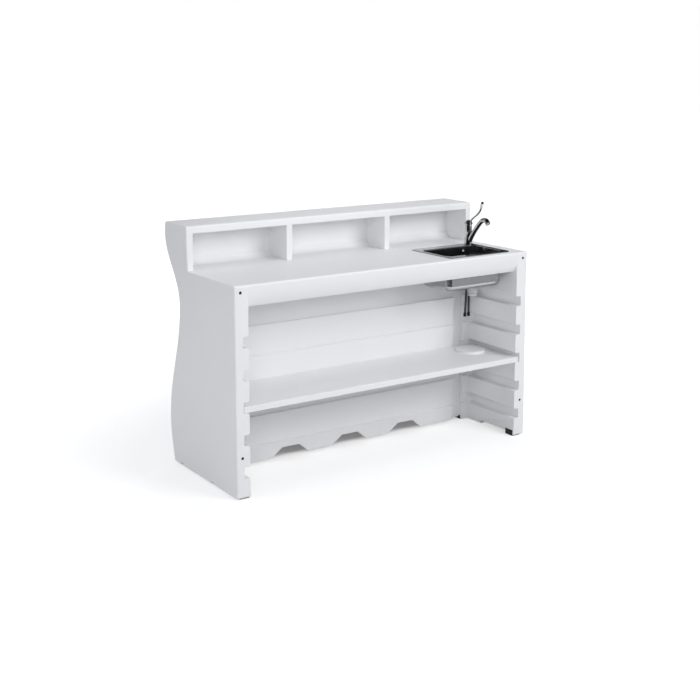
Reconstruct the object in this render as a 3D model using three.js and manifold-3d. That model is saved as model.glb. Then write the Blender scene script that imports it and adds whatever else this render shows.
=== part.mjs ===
// Bar counter with shelf runners, a raised bar, a drop-in sink and a single-lever mixer tap.
// Millimetres, +Z up. X runs along the counter, Y from the bartender's side to the customer's side.
// Inside the group, depth is measured from the bartender's edge and height from the floor.
import * as THREE from 'three';
import { mergeVertices } from 'three/addons/utils/BufferGeometryUtils.js';
import Module from 'manifold-3d';

const wasm = await Module();
wasm.setup();

// Main sizes of the moulded body
const LENGTH = 1600;
const WORK_HEIGHT = 915;
const WORK_DEPTH = 430;
const BAR_RISE = 196;
const BAR_BOARD = 33;
const END_THICK = 64;
const CHEEK_THICK = 30;
const FRONT_THICK = 22;
const CORNER_ROUND = 9;
const EDGE_ROUND = 6;
const FLOOR_GAP = 4;

// Customer side: depth of each turn of the S, and where it lies
const TOE_DEPTH = 598;
const BELLY_DEPTH = 633;
const BELLY_HEIGHT = 208;
const WAIST_DEPTH = 517;
const WAIST_DROP = 164;
const BULGE_DEPTH = 651;
const BULGE_DROP = 48;
const CROWN_DEPTH = 643;
const CURVE_STEP = 18;

// Worktop: front band, bevelled lip under it, and the cove that rises to the raised bar's back
const SLAB = 60;
const LIP_DROP = 35;
const LIP_BEVEL = 22;
const LIP_DEPTH = 50;
const COVE = 30;
const COVE_EDGE = 1.5;

// Dividers of the raised bar, and the depth of its pigeonholes
const BAR_INSIDE = 158;
const DIVIDER_THICK = 29;
const DIVIDER_OFFSET = 277;

// Shelf runners, the corner posts behind them and the stepped inner panel
const BAY_DEPTH = 354;
const GROOVE_FLOOR = 91;
const GROOVE_PITCH = 140;
const GROOVE_HEIGHT = 48;
const GROOVE_DEPTH = 28;
const GROOVE_LIP = 8;
const POST_WIDTH = 36;
const POST_NOTCH = 14;
const POST_ROUND = 8;
const CHANNEL = 70;
const CHANNEL_DEEP = 90;
const INNER_THICK = 26;
const LEDGE = 14;
const INNER_FLOOR_GAP = 14;
const CUTOUT_SPACING = 330;
const CUTOUT_COUNT = 3;
const CUTOUT_FOOT = 202;
const CUTOUT_TOP = 90;
const CUTOUT_HEIGHT = 44;

// Loose shelf
const SHELF_GROOVE_INDEX = 2;
const SHELF_THICK = 27;
const SHELF_SETBACK = 4;
const SHELF_BACK_GAP = 5;
const SHELF_END_GAP = 4.5;
const SHELF_ROUND = 5;
const SHELF_EDGE = 2.5;
const PAD_RADIUS = 72;
const PAD_HEIGHT = 12;
const PAD_END_GAP = 22;
const PAD_BACK_GAP = 54;
const PAD_EDGE = 5;

// Feet, and the relief behind each near foot
const FOOT_WIDTH = 50;
const FOOT_DEPTH = 56;
const NEAR_FOOT_SETBACK = 8;
const NEAR_FOOT_HEIGHT = 29;
const REAR_FOOT_SETBACK = 368;
const REAR_FOOT_HEIGHT = 20;
const FOOT_ROUND = 6;
const FOOT_EDGE = 2;
const RELIEF_END = 246;
const RELIEF_HEIGHT = 14;
const RELIEF_DEPTH = 42;
const NOTCH_PLACES = [226, 520];
const NOTCH_WIDTH = 22;
const NOTCH_HEIGHT = 11;
const NOTCH_DEPTH = 14;

// Joining bolts in the near faces of the ends
const BOLT_INSET = 28;
const BOLT_DROP = 30;
const BOLT_LOW_HEIGHT = 180;
const BOLT_HEAD_RADIUS = 6.3;
const BOLT_HEAD = 4.5;
const BOLT_RADIUS = 4;
const BOLT_LENGTH = 34;
const BOLT_RECESS = 0.8;
const SOCKET_RADIUS = 3;
const SOCKET_DEEP = 2.5;

// Sink
const SINK_END_GAP = 12;
const SINK_SETBACK = 33;
const SINK_WIDTH = 370;
const SINK_DEPTH = 313;
const SINK_CORNER = 22;
const SHEET = 2;
const SEAL_THICK = 1.2;
const SEAL_WIDTH = 6;
const BOWL_SIDE = 20;
const BOWL_NEAR = 39;
const TAP_LEDGE = 59;
const BOWL_DROP = 170;
const BOWL_CORNER = 32;
const BOWL_BOTTOM_ROUND = 24;
const CUT_BEARING = 8;
const OVERFLOW_FROM_RIGHT = 68;
const OVERFLOW_DROP = 24;
const OVERFLOW_RADIUS = 15;
const OVERFLOW_HOLE = 9;
const OVERFLOW_PLATE = 2;
const OVERFLOW_NUT = 6;
const CLIP_WIDTH = 18;
const CLIP_SHEET = 2;
const CLIP_CLEAR = 2;
const CLIP_FOOT = 9;
const CLIP_TAB = 4;
const CLIP_SPREAD = 75;

// Waste
const WASTE_FROM_RIGHT = 94;
const WASTE_HOLE = 24;
const STRAINER_RADIUS = 34;
const STRAINER_THICK = 2;
const STRAINER_SLOTS = 8;
const WASTE_SEAL_THICK = 3;
const WASTE_BODY_RADIUS = 30;
const WASTE_BODY_DROP = 56;
const WASTE_WALL = 3;
const OUTLET_RADIUS = 16;
const WASTE_NUT_RADIUS = 22;
const WASTE_NUT_HEIGHT = 12;

// Tap
const TAP_FROM_RIGHT = 31;
const TAP_HOLE = 15.5;
const RING_RADIUS = 23;
const RING_HEIGHT = 4;
const FOOT_FLANGE_RADIUS = 19.5;
const HUB_RADIUS = 20;
const HUB_HEIGHT = 23;
const NECK_RADIUS = 15;
const SHOULDER_RADIUS = 18.5;
const SHOULDER_HEIGHT = 5;
const COLUMN_RADIUS = 16.5;
const COLUMN_FLARE = 0.8;
const FLARE_HEIGHT = 22;
const BALL_RADIUS = 18;
const PIVOT_HEIGHT = 101.5;
const CAP_RADIUS = 21;
const CAP_CLEAR = 0.6;
const CARRIER_RADIUS = 11.2;
const CARRIER_DROP = 13.5;
const CARRIER_RISE = 8;
const STEM_RADIUS = 3;
const STEM_SLOT = 3.4;
const SPOUT_RADIUS = 12.5;
const AERATOR_RADIUS = 13;
const AERATOR_LENGTH = 9;
const LEVER_RADIUS = 4.4;
const GRIP_RADIUS = 7;
const GRIP_LENGTH = 30;
const TIP_LENGTH = 9;
const STUD_RADIUS = 3.5;
const STUD_OFFSET = 9;
const STUD_LENGTH = 44;
const WASHER_RADIUS = 19.5;
const WASHER_THICK = 3;
const CLAMP_NUT_RADIUS = 6.5;
const CLAMP_NUT_HEIGHT = 7;
const HOSE_RADIUS = 5.5;
const HOSE_NUT_RADIUS = 7.5;
const HOSE_NUT_LENGTH = 20;
const HOSE_NUT_WALL = 3;
const HOSE_NUT_SOCKET = 8;
const HOSE_NUT_CHAMFER = 1.5;

// Fits and facets
const SEAT = 0.3;
const RUN = 0.35;
const PAST = 12;
const ARC_STEPS = 4;
const ARC_SHARE = 0.8;
const ROUND_STEPS = 3;
const TURN_STEPS = 24;
const TUBE_SIDES = 12;
const HOSE_STEPS = 16;

// Spout centre line and lever centre line: reach towards the bartender and height over the deck
const SPOUT_ROUTE = [[12, 20], [38, 57], [66, 90], [92, 117], [108, 129], [124, 133], [137, 130], [143, 123]];
const LEVER_ROUTE = [[14, 115], [34, 133], [58, 149], [82, 169], [94, 186], [98, 199]];

// Supply hoses hang straight down from the tap and drift sideways towards their ends.
// Each has its place beside the tap's axis and its drift.
const HOSES = { left: { side: -6.5, drift: -9.5 }, right: { side: 6.5, drift: 0.5 } };
const HOSE_BEND = 3;
const HOSE_DEPTH_OFFSET = -3;
const HOSE_LENGTH = 350;

// Heights and places that follow from the sizes above
const barHeight = WORK_HEIGHT + BAR_RISE;
const bulgeHeight = barHeight - BULGE_DROP;
const waistHeight = WORK_HEIGHT - WAIST_DROP;
const boardUnder = barHeight - BAR_BOARD;
const slabUnder = WORK_HEIGHT - SLAB;
const lipUnder = slabUnder - LIP_DROP;
const barBack = WORK_DEPTH + BAR_INSIDE;
const overallDepth = Math.max(BULGE_DEPTH, BELLY_DEPTH, CROWN_DEPTH, TOE_DEPTH);
const endX = LENGTH / 2;
const innerX = endX - END_THICK;
const cheekX = endX - CHEEK_THICK;
const postX = innerX - POST_WIDTH;
const panelX = postX - CHANNEL;
const grooveX = innerX + GROOVE_DEPTH;
const grooveCount = Math.floor((lipUnder - GROOVE_FLOOR - GROOVE_HEIGHT) / GROOVE_PITCH) + 1;
const grooveFloors = Array.from({ length: grooveCount }, (_, i) => GROOVE_FLOOR + i * GROOVE_PITCH);
const shelfFloor = grooveFloors[Math.min(Math.floor(SHELF_GROOVE_INDEX), grooveCount - 1)];

const sinkRight = innerX - SINK_END_GAP;
const sinkLeft = sinkRight - SINK_WIDTH;
const sinkFar = SINK_SETBACK + SINK_DEPTH;
const bowlLeft = sinkLeft + BOWL_SIDE;
const bowlRight = sinkRight - BOWL_SIDE;
const bowlNear = SINK_SETBACK + BOWL_NEAR;
const bowlFar = sinkFar - TAP_LEDGE;
const flangeUnder = WORK_HEIGHT + SEAL_THICK + SEAT;
const deck = flangeUnder + SHEET;
const bowlFloor = deck - BOWL_DROP;
const cut = {
  left: sinkLeft + CUT_BEARING,
  right: sinkRight - CUT_BEARING,
  near: SINK_SETBACK + CUT_BEARING,
  far: sinkFar - CUT_BEARING,
};
const wasteX = bowlRight - WASTE_FROM_RIGHT;
const wasteDepth = (bowlNear + bowlFar) / 2;
const tapX = sinkRight - TAP_FROM_RIGHT;
const tapDepth = sinkFar - TAP_LEDGE / 2;

// Geometry to solid and back

// Merges shared corners, drops collapsed triangles and turns the faces outwards.
function closedMesh(geometry) {
  const plain = geometry.clone();
  plain.deleteAttribute('normal');
  plain.deleteAttribute('uv');
  const merged = mergeVertices(plain, 1e-4);
  const corners = merged.attributes.position.array;
  const faces = [];
  let volume = 0;
  for (let i = 0; i < merged.index.count; i += 3) {
    const [a, b, c] = [0, 1, 2].map((k) => merged.index.getX(i + k));
    if (a === b || b === c || c === a) continue;
    const [p, q, r] = [a, b, c].map((k) => new THREE.Vector3().fromArray(corners, k * 3));
    volume += p.dot(q.cross(r));
    faces.push(a, b, c);
  }
  if (volume < 0) faces.reverse();
  return new wasm.Mesh({
    numProp: 3,
    vertProperties: new Float32Array(corners),
    triVerts: new Uint32Array(faces),
  });
}

function solid(geometry) {
  return new wasm.Manifold(closedMesh(geometry));
}

function geometryOf(body) {
  const mesh = body.getMesh();
  const geometry = new THREE.BufferGeometry();
  geometry.setAttribute('position', new THREE.BufferAttribute(new Float32Array(mesh.vertProperties), 3));
  geometry.setIndex(new THREE.BufferAttribute(new Uint32Array(mesh.triVerts), 1));
  geometry.computeVertexNormals();
  return geometry;
}

// Outlines and basic shapes

// Corners are [x, y] or [x, y, radius]; a corner with a radius becomes an arc, which takes at most
// the given share of the shorter side beside it.
function roundedPoints(corners, steps = ARC_STEPS) {
  return corners.flatMap(([x, y, radius = 0], i) => {
    const corner = new THREE.Vector2(x, y);
    if (radius === 0) return [corner];
    const [bx, by] = corners.at(i - 1);
    const [ax, ay] = corners[(i + 1) % corners.length];
    const before = new THREE.Vector2(bx, by).sub(corner);
    const after = new THREE.Vector2(ax, ay).sub(corner);
    const room = ARC_SHARE * Math.min(before.length(), after.length());
    const half = before.angleTo(after) / 2;
    const reach = Math.min(radius / Math.tan(half), room);
    before.normalize();
    after.normalize();
    const middle = before.clone().add(after).normalize();
    const centre = corner.clone().addScaledVector(middle, reach / Math.cos(half));
    const start = corner.clone().addScaledVector(before, reach);
    const turn = (Math.PI - 2 * half) * Math.sign(after.cross(before));
    const stepsAround = Array.from({ length: steps + 1 }, (_, k) => k / steps);
    return stepsAround.map((share) => start.clone().rotateAround(centre, turn * share));
  });
}

function roundedBox(x0, x1, y0, y1, radius, steps = ARC_STEPS) {
  return roundedPoints([[x0, y0, radius], [x1, y0, radius], [x1, y1, radius], [x0, y1, radius]], steps);
}

function pointsOf(pairs) {
  return pairs.map(([x, y]) => new THREE.Vector2(x, y));
}

const AXES = {
  x: new THREE.Matrix4().makeBasis(
    new THREE.Vector3(0, 1, 0), new THREE.Vector3(0, 0, 1), new THREE.Vector3(1, 0, 0)),
  y: new THREE.Matrix4().makeBasis(
    new THREE.Vector3(1, 0, 0), new THREE.Vector3(0, 0, 1), new THREE.Vector3(0, -1, 0)),
  z: new THREE.Matrix4(),
};

// Extrudes an outline along an axis. Outlines are (depth, height) along x, (x, height) along y and
// (x, depth) along z. An edge radius rounds both ends of the extrusion inside the outline.
function prism(points, axis, from, to, edge = 0, steps = ROUND_STEPS) {
  const geometry = new THREE.ExtrudeGeometry(new THREE.Shape(points), {
    depth: to - from - 2 * edge,
    steps: 1,
    bevelEnabled: edge > 0,
    bevelThickness: edge,
    bevelSize: edge,
    bevelOffset: -edge,
    bevelSegments: steps,
  });
  geometry.translate(0, 0, edge);
  geometry.applyMatrix4(AXES[axis]);
  if (axis === 'x') geometry.translate(from, 0, 0);
  if (axis === 'y') geometry.translate(0, to, 0);
  if (axis === 'z') geometry.translate(0, 0, from);
  return solid(geometry);
}

function block(x0, x1, y0, y1, z0, z1) {
  const geometry = new THREE.BoxGeometry(x1 - x0, y1 - y0, z1 - z0);
  geometry.translate((x0 + x1) / 2, (y0 + y1) / 2, (z0 + z1) / 2);
  return solid(geometry);
}

// Revolves a (radius, height) profile about the vertical axis.
function turned(profile, steps = TURN_STEPS) {
  const geometry = new THREE.LatheGeometry(pointsOf(profile), steps);
  geometry.rotateX(Math.PI / 2);
  return geometry;
}

function disc(radius, z0, z1, steps = TURN_STEPS) {
  return turned([[0, z0], [radius, z0], [radius, z1], [0, z1]], steps);
}

function ring(inner, outer, z0, z1, steps = TURN_STEPS) {
  return turned([[inner, z0], [outer, z0], [outer, z1], [inner, z1], [inner, z0]], steps);
}

// Sweeps a round section along a smooth line.
function tube(points, radius, steps, sides = TUBE_SIDES) {
  const corners = Array.from({ length: sides }, (_, i) => (i * 2 * Math.PI) / sides);
  const outline = corners.map((a) => new THREE.Vector2(radius * Math.cos(a), radius * Math.sin(a)));
  const extrudePath = new THREE.CatmullRomCurve3(points);
  return new THREE.ExtrudeGeometry(new THREE.Shape(outline), { steps, extrudePath });
}

function mirrored(geometry) {
  const copy = geometry.clone();
  copy.scale(-1, 1, 1);
  const index = copy.index.array;
  for (let i = 0; i < index.length; i += 3) {
    [index[i], index[i + 2]] = [index[i + 2], index[i]];
  }
  copy.computeVertexNormals();
  return copy;
}

// The curve of the customer side

function wave(from, to, share) {
  return from + ((to - from) * (1 - Math.cos(Math.PI * share))) / 2;
}

function frontDepth(z) {
  if (z > bulgeHeight) {
    const share = (z - bulgeHeight) / BULGE_DROP;
    return wave(BULGE_DEPTH, 2 * CROWN_DEPTH - BULGE_DEPTH, share / 2);
  }
  if (z > waistHeight) {
    return wave(WAIST_DEPTH, BULGE_DEPTH, (z - waistHeight) / (bulgeHeight - waistHeight));
  }
  if (z > BELLY_HEIGHT) {
    return wave(BELLY_DEPTH, WAIST_DEPTH, (z - BELLY_HEIGHT) / (waistHeight - BELLY_HEIGHT));
  }
  const share = (BELLY_HEIGHT - z) / (BELLY_HEIGHT - FLOOR_GAP);
  return wave(BELLY_DEPTH, 2 * TOE_DEPTH - BELLY_DEPTH, share / 2);
}

// The inside of the front follows the S, and stands upright behind the pigeonholes.
function backDepth(z) {
  const back = frontDepth(z) - FRONT_THICK;
  return z > waistHeight ? Math.min(back, barBack) : back;
}

// Height at which the inside of the front turns upright.
function uprightHeight() {
  const share = (barBack + FRONT_THICK - WAIST_DEPTH) / (BULGE_DEPTH - WAIST_DEPTH);
  const turn = Math.acos(1 - 2 * THREE.MathUtils.clamp(share, 0, 1)) / Math.PI;
  return waistHeight + (bulgeHeight - waistHeight) * turn;
}

// Points of a curve between two heights, going up if z1 is above z0, with one at each turn of the S.
function curvePoints(depthAt, z0, z1) {
  const [low, high] = [Math.min(z0, z1), Math.max(z0, z1)];
  const turns = [BELLY_HEIGHT, waistHeight, uprightHeight(), bulgeHeight];
  const heights = [low];
  [...turns.filter((z) => z > low + 1 && z < high - 1), high].forEach((next) => {
    const from = heights.at(-1);
    const count = Math.ceil((next - from) / CURVE_STEP);
    for (let i = 1; i <= count; i += 1) {
      heights.push(from + ((next - from) * i) / count);
    }
  });
  if (z1 < z0) heights.reverse();
  return heights.map((z) => [depthAt(z), z]);
}

// Room on the bartender's side of the front shell, as a solid to cut other pieces with.
function roomBehindFront(x0, x1, z0, z1, clear) {
  const edge = curvePoints((z) => backDepth(z) - clear, z0, z1);
  return prism(pointsOf([[-PAST, z0], ...edge, [-PAST, z1]]), 'x', x0, x1);
}

// Moulded body

function endOutline() {
  const curve = curvePoints(frontDepth, barHeight, FLOOR_GAP);
  const crown = [...curve[0], CORNER_ROUND];
  const toe = [...curve.at(-1), CORNER_ROUND];
  return roundedPoints([
    [0, FLOOR_GAP, CORNER_ROUND],
    toe,
    ...curve.slice(1, -1).reverse(),
    crown,
    [WORK_DEPTH, barHeight, CORNER_ROUND],
    [WORK_DEPTH, WORK_HEIGHT],
    [0, WORK_HEIGHT, CORNER_ROUND],
  ]);
}

// A runner groove: outline of the cut, with rounded lips at the inner face of the end.
function grooveOutline(floor) {
  const top = floor + GROOVE_HEIGHT;
  return roundedPoints([
    [innerX - PAST, floor - GROOVE_LIP],
    [innerX, floor - GROOVE_LIP],
    [innerX + GROOVE_LIP * 0.3, floor - GROOVE_LIP * 0.3],
    [innerX + GROOVE_LIP, floor],
    [grooveX, floor, GROOVE_LIP / 2],
    [grooveX, top, GROOVE_LIP / 2],
    [innerX + GROOVE_LIP, top],
    [innerX + GROOVE_LIP * 0.3, top + GROOVE_LIP * 0.3],
    [innerX, top + GROOVE_LIP],
    [innerX - PAST, top + GROOVE_LIP],
  ]);
}

function cornerPost() {
  const plan = roundedPoints([
    [postX, BAY_DEPTH, POST_ROUND],
    [innerX + 1, BAY_DEPTH],
    [innerX + 1, overallDepth],
    [postX, overallDepth],
  ]);
  const top = slabUnder - SEAT;
  const post = prism(plan, 'z', FLOOR_GAP, top);
  return post.intersect(roomBehindFront(postX - PAST, innerX + PAST, FLOOR_GAP, top, SEAT));
}

const feet = [
  { name: 'near', depth: NEAR_FOOT_SETBACK, inner: innerX, height: NEAR_FOOT_HEIGHT },
  { name: 'rear', depth: REAR_FOOT_SETBACK, inner: postX, height: REAR_FOOT_HEIGHT },
];

const reliefTop = FLOOR_GAP + RELIEF_HEIGHT;

const boltHeights = { upper: WORK_HEIGHT - BOLT_DROP, lower: BOLT_LOW_HEIGHT };
const boltX = endX - BOLT_INSET;

function boltBore(height) {
  const shank = disc(BOLT_RADIUS + SEAT, -PAST, BOLT_RECESS + BOLT_HEAD + BOLT_LENGTH + 1);
  const head = disc(BOLT_HEAD_RADIUS + SEAT, -PAST, BOLT_RECESS + BOLT_HEAD + SEAT);
  return [shank, head].map((geometry) => {
    geometry.rotateX(-Math.PI / 2);
    geometry.translate(boltX, 0, height);
    return solid(geometry);
  });
}

function endPanel() {
  let panel = prism(endOutline(), 'x', innerX - 2 * EDGE_ROUND, endX, EDGE_ROUND);
  const cuts = [
    block(innerX - PAST * 2, innerX, -PAST, overallDepth + PAST, -PAST, barHeight + PAST),
    block(innerX - 1, cheekX, WORK_DEPTH, overallDepth + PAST, slabUnder, barHeight + PAST),
    ...grooveFloors.map((floor) => prism(grooveOutline(floor), 'y', -PAST, BAY_DEPTH)),
    ...Object.values(boltHeights).flatMap(boltBore),
    block(innerX - 1, innerX + RELIEF_DEPTH, NEAR_FOOT_SETBACK, RELIEF_END, -PAST, reliefTop),
    ...NOTCH_PLACES.map((place) => block(
      endX - NOTCH_DEPTH, endX + PAST, place - NOTCH_WIDTH / 2, place + NOTCH_WIDTH / 2,
      -PAST, FLOOR_GAP + NOTCH_HEIGHT)),
  ];
  cuts.forEach((piece) => {
    panel = panel.subtract(piece);
  });
  panel = panel.add(cornerPost());
  grooveFloors.forEach((floor) => {
    panel = panel.subtract(block(
      postX - PAST, innerX, BAY_DEPTH - 1, BAY_DEPTH + POST_NOTCH, floor, floor + GROOVE_HEIGHT));
  });
  feet.forEach(({ depth, inner, height }) => {
    panel = panel.subtract(block(
      inner - PAST, inner + FOOT_WIDTH + SEAT,
      depth - SEAT, depth + FOOT_DEPTH + SEAT,
      -PAST, height + SEAT));
  });
  return geometryOf(panel);
}

function frontShell() {
  const top = boardUnder - SEAT;
  const outside = curvePoints(frontDepth, FLOOR_GAP, top);
  const inside = curvePoints(backDepth, top, FLOOR_GAP);
  const upperX = cheekX - SEAT;
  const lowerX = innerX - SEAT;
  let shell = prism(pointsOf([...outside, ...inside]), 'x', -upperX, upperX);
  [-1, 1].forEach((side) => {
    const [x0, x1] = [side * lowerX, side * (upperX + PAST)].sort((a, b) => a - b);
    shell = shell.subtract(block(x0, x1, 0, overallDepth + PAST, -PAST, slabUnder + SEAT));
  });
  return geometryOf(shell);
}

// The cove at the back of the worktop, lifted off its surface by a clearance.
function covePoints(clear) {
  const foot = backDepth(WORK_HEIGHT);
  const top = WORK_HEIGHT + COVE;
  const curve = new THREE.QuadraticBezierCurve(
    new THREE.Vector2(foot - COVE, WORK_HEIGHT + clear),
    new THREE.Vector2(foot - SEAT - clear, WORK_HEIGHT + clear),
    new THREE.Vector2(backDepth(top) - SEAT - COVE_EDGE - clear, top),
  );
  return curve.getPoints(2 * ARC_STEPS).map((p) => [p.x, p.y]);
}

function worktop() {
  const coveTop = WORK_HEIGHT + COVE;
  const rear = curvePoints((z) => backDepth(z) - SEAT, slabUnder, coveTop);
  const outline = roundedPoints([
    [LIP_BEVEL, lipUnder],
    [LIP_DEPTH, lipUnder],
    [LIP_DEPTH, slabUnder],
    ...rear,
    ...covePoints(0).reverse(),
    [0, WORK_HEIGHT, CORNER_ROUND],
    [0, slabUnder],
  ]);
  const earX = cheekX - SEAT;
  const midX = innerX - SEAT;
  let slab = prism(outline, 'x', -earX, earX);
  [-1, 1].forEach((side) => {
    const [x0, x1] = [side * midX, side * (earX + PAST)].sort((a, b) => a - b);
    slab = slab.subtract(block(x0, x1, -PAST, WORK_DEPTH + SEAT, lipUnder - PAST, WORK_HEIGHT + PAST));
  });
  const hole = roundedBox(cut.left, cut.right, cut.near, cut.far, SINK_CORNER);
  slab = slab.subtract(prism(hole, 'z', lipUnder - PAST, WORK_HEIGHT + PAST));
  return geometryOf(slab);
}

function barTop() {
  const rear = curvePoints(frontDepth, boardUnder, barHeight);
  const outline = roundedPoints([
    [WORK_DEPTH, boardUnder],
    ...rear.slice(0, -1),
    [...rear.at(-1), CORNER_ROUND],
    [WORK_DEPTH, barHeight, CORNER_ROUND],
  ]);
  return geometryOf(prism(outline, 'x', -(cheekX - SEAT), cheekX - SEAT));
}

function divider(middle) {
  const top = boardUnder - SEAT;
  const coveTop = WORK_HEIGHT + COVE;
  const rear = curvePoints((z) => backDepth(z) - SEAT, coveTop + SEAT, top);
  const room = pointsOf([[0, WORK_HEIGHT + SEAT], ...covePoints(SEAT), ...rear, [0, top]]);
  const [x0, x1] = [middle - DIVIDER_THICK / 2, middle + DIVIDER_THICK / 2];
  const board = block(x0, x1, WORK_DEPTH, overallDepth, WORK_HEIGHT, barHeight);
  return geometryOf(board.intersect(prism(room, 'x', x0 - 1, x1 + 1)));
}

// Stepped panel: at each runner level a ledge, below it a face that leans back to the next ledge.
function innerPanel() {
  const top = slabUnder - SEAT;
  const back = BAY_DEPTH + INNER_THICK;
  const steps = grooveFloors.flatMap((floor) => [[BAY_DEPTH - LEDGE, floor], [BAY_DEPTH, floor]]);
  const outline = pointsOf([
    [back, INNER_FLOOR_GAP],
    [back, top],
    [BAY_DEPTH, top],
    ...steps.reverse(),
    [BAY_DEPTH - LEDGE / 3, INNER_FLOOR_GAP],
  ]);
  let panel = prism(outline, 'x', -panelX, panelX);
  // Beside each post the panel turns back and then out, and so forms a channel.
  const wing = postX - SEAT;
  const channelBack = BAY_DEPTH + CHANNEL_DEEP;
  const wingBack = channelBack + INNER_THICK;
  [[-panelX, -wing], [panelX - INNER_THICK, panelX]].forEach(([turn, out]) => {
    panel = panel.add(block(turn, turn + INNER_THICK, BAY_DEPTH, wingBack, INNER_FLOOR_GAP, top));
    panel = panel.add(block(out, out + wing - panelX, channelBack, wingBack, INNER_FLOOR_GAP, top));
  });
  for (let i = 0; i < CUTOUT_COUNT; i += 1) {
    const middle = (i - (CUTOUT_COUNT - 1) / 2) * CUTOUT_SPACING;
    const arch = roundedPoints([
      [middle - CUTOUT_FOOT / 2, INNER_FLOOR_GAP - 1],
      [middle + CUTOUT_FOOT / 2, INNER_FLOOR_GAP - 1],
      [middle + CUTOUT_TOP / 2, INNER_FLOOR_GAP + CUTOUT_HEIGHT, CORNER_ROUND],
      [middle - CUTOUT_TOP / 2, INNER_FLOOR_GAP + CUTOUT_HEIGHT, CORNER_ROUND],
    ]);
    panel = panel.subtract(prism(arch, 'y', 0, overallDepth));
  }
  return geometryOf(panel.intersect(roomBehindFront(-endX, endX, 0, slabUnder, SEAT)));
}

function shelf() {
  const halfLength = grooveX - SHELF_END_GAP;
  const back = BAY_DEPTH - SHELF_BACK_GAP;
  const top = shelfFloor + SEAT + SHELF_THICK;
  const plan = roundedBox(-halfLength, halfLength, SHELF_SETBACK, back, SHELF_ROUND);
  const board = prism(plan, 'z', shelfFloor + SEAT, top, SHELF_EDGE, 2);
  const padTop = top + PAD_HEIGHT;
  const pad = turned([
    [0, top - 1],
    [PAD_RADIUS, top - 1],
    [PAD_RADIUS, padTop - PAD_EDGE],
    [PAD_RADIUS - PAD_EDGE * 0.3, padTop - PAD_EDGE * 0.3],
    [PAD_RADIUS - PAD_EDGE, padTop],
    [0, padTop],
  ]);
  const padX = innerX - PAD_END_GAP - PAD_RADIUS;
  const padDepth = back - PAD_BACK_GAP - PAD_RADIUS;
  return geometryOf(board.add(solid(placed(pad, padX, padDepth, 0))));
}

function foot({ depth, inner, height }) {
  const plan = roundedBox(inner, inner + FOOT_WIDTH, depth, depth + FOOT_DEPTH, FOOT_ROUND, 2);
  return geometryOf(prism(plan, 'z', 0, height, FOOT_EDGE, 1));
}

function bolt() {
  const headEnd = BOLT_RECESS + BOLT_HEAD;
  const body = solid(turned([
    [0, BOLT_RECESS],
    [BOLT_HEAD_RADIUS - 1, BOLT_RECESS],
    [BOLT_HEAD_RADIUS, BOLT_RECESS + 1],
    [BOLT_HEAD_RADIUS, headEnd],
    [BOLT_RADIUS, headEnd],
    [BOLT_RADIUS, headEnd + BOLT_LENGTH],
    [0, headEnd + BOLT_LENGTH],
  ], 16));
  const socket = solid(disc(SOCKET_RADIUS, BOLT_RECESS - 1, BOLT_RECESS + SOCKET_DEEP, 6));
  const geometry = geometryOf(body.subtract(socket));
  geometry.rotateX(-Math.PI / 2);
  return geometry;
}

// Sink and waste

// A tub with rounded sides and a rounded bottom edge, open at the top of the given height.
function tub(grow, bottom, top) {
  const plan = roundedBox(
    bowlLeft - grow, bowlRight + grow, bowlNear - grow, bowlFar + grow, BOWL_CORNER + grow, ARC_STEPS + 2);
  const round = BOWL_BOTTOM_ROUND + grow;
  const body = prism(plan, 'z', bottom, top + round, round, ARC_STEPS);
  return body.intersect(block(sinkLeft, sinkRight, 0, overallDepth, bottom - 1, top));
}

function placed(geometry, x, y, z) {
  geometry.translate(x, y, z);
  return geometry;
}

function overflowPlaced(geometry) {
  geometry.rotateX(-Math.PI / 2);
  return placed(geometry, bowlRight - OVERFLOW_FROM_RIGHT, bowlFar, deck - OVERFLOW_DROP);
}

function sink() {
  const plan = roundedBox(sinkLeft, sinkRight, SINK_SETBACK, sinkFar, SINK_CORNER, ARC_STEPS + 2);
  let body = prism(plan, 'z', flangeUnder, deck);
  body = body.add(tub(SHEET, bowlFloor - SHEET, deck));
  body = body.subtract(tub(0, bowlFloor, deck + PAST));
  const holes = [
    placed(disc(WASTE_HOLE, -PAST, PAST), wasteX, wasteDepth, bowlFloor),
    placed(disc(TAP_HOLE, -PAST, PAST), tapX, tapDepth, deck),
    overflowPlaced(disc(OVERFLOW_HOLE, -PAST, PAST)),
  ];
  holes.forEach((hole) => {
    body = body.subtract(solid(hole));
  });
  return geometryOf(body);
}

function sinkSeal() {
  const [z0, z1] = [WORK_HEIGHT, WORK_HEIGHT + SEAL_THICK];
  const outer = prism(roundedBox(
    cut.left - SEAL_WIDTH, cut.right + SEAL_WIDTH, cut.near - SEAL_WIDTH, cut.far + SEAL_WIDTH,
    SINK_CORNER), 'z', z0, z1);
  const hole = prism(roundedBox(cut.left, cut.right, cut.near, cut.far, SINK_CORNER), 'z', z0 - 1, z1 + 1);
  return geometryOf(outer.subtract(hole));
}

// A bent strap: top tab under the flange, leg down through the cut-out, foot under the slab.
function sinkClip() {
  const top = flangeUnder - SEAT;
  const under = slabUnder - SEAT;
  const legOut = -CLIP_CLEAR;
  const legIn = legOut - CLIP_SHEET;
  const outline = pointsOf([
    [legIn, under - CLIP_SHEET],
    [CLIP_FOOT, under - CLIP_SHEET],
    [CLIP_FOOT, under],
    [legOut, under],
    [legOut, top],
    [legIn - CLIP_TAB, top],
    [legIn - CLIP_TAB, top - CLIP_SHEET],
    [legIn, top - CLIP_SHEET],
  ]);
  return geometryOf(prism(outline, 'x', -CLIP_WIDTH / 2, CLIP_WIDTH / 2));
}

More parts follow.
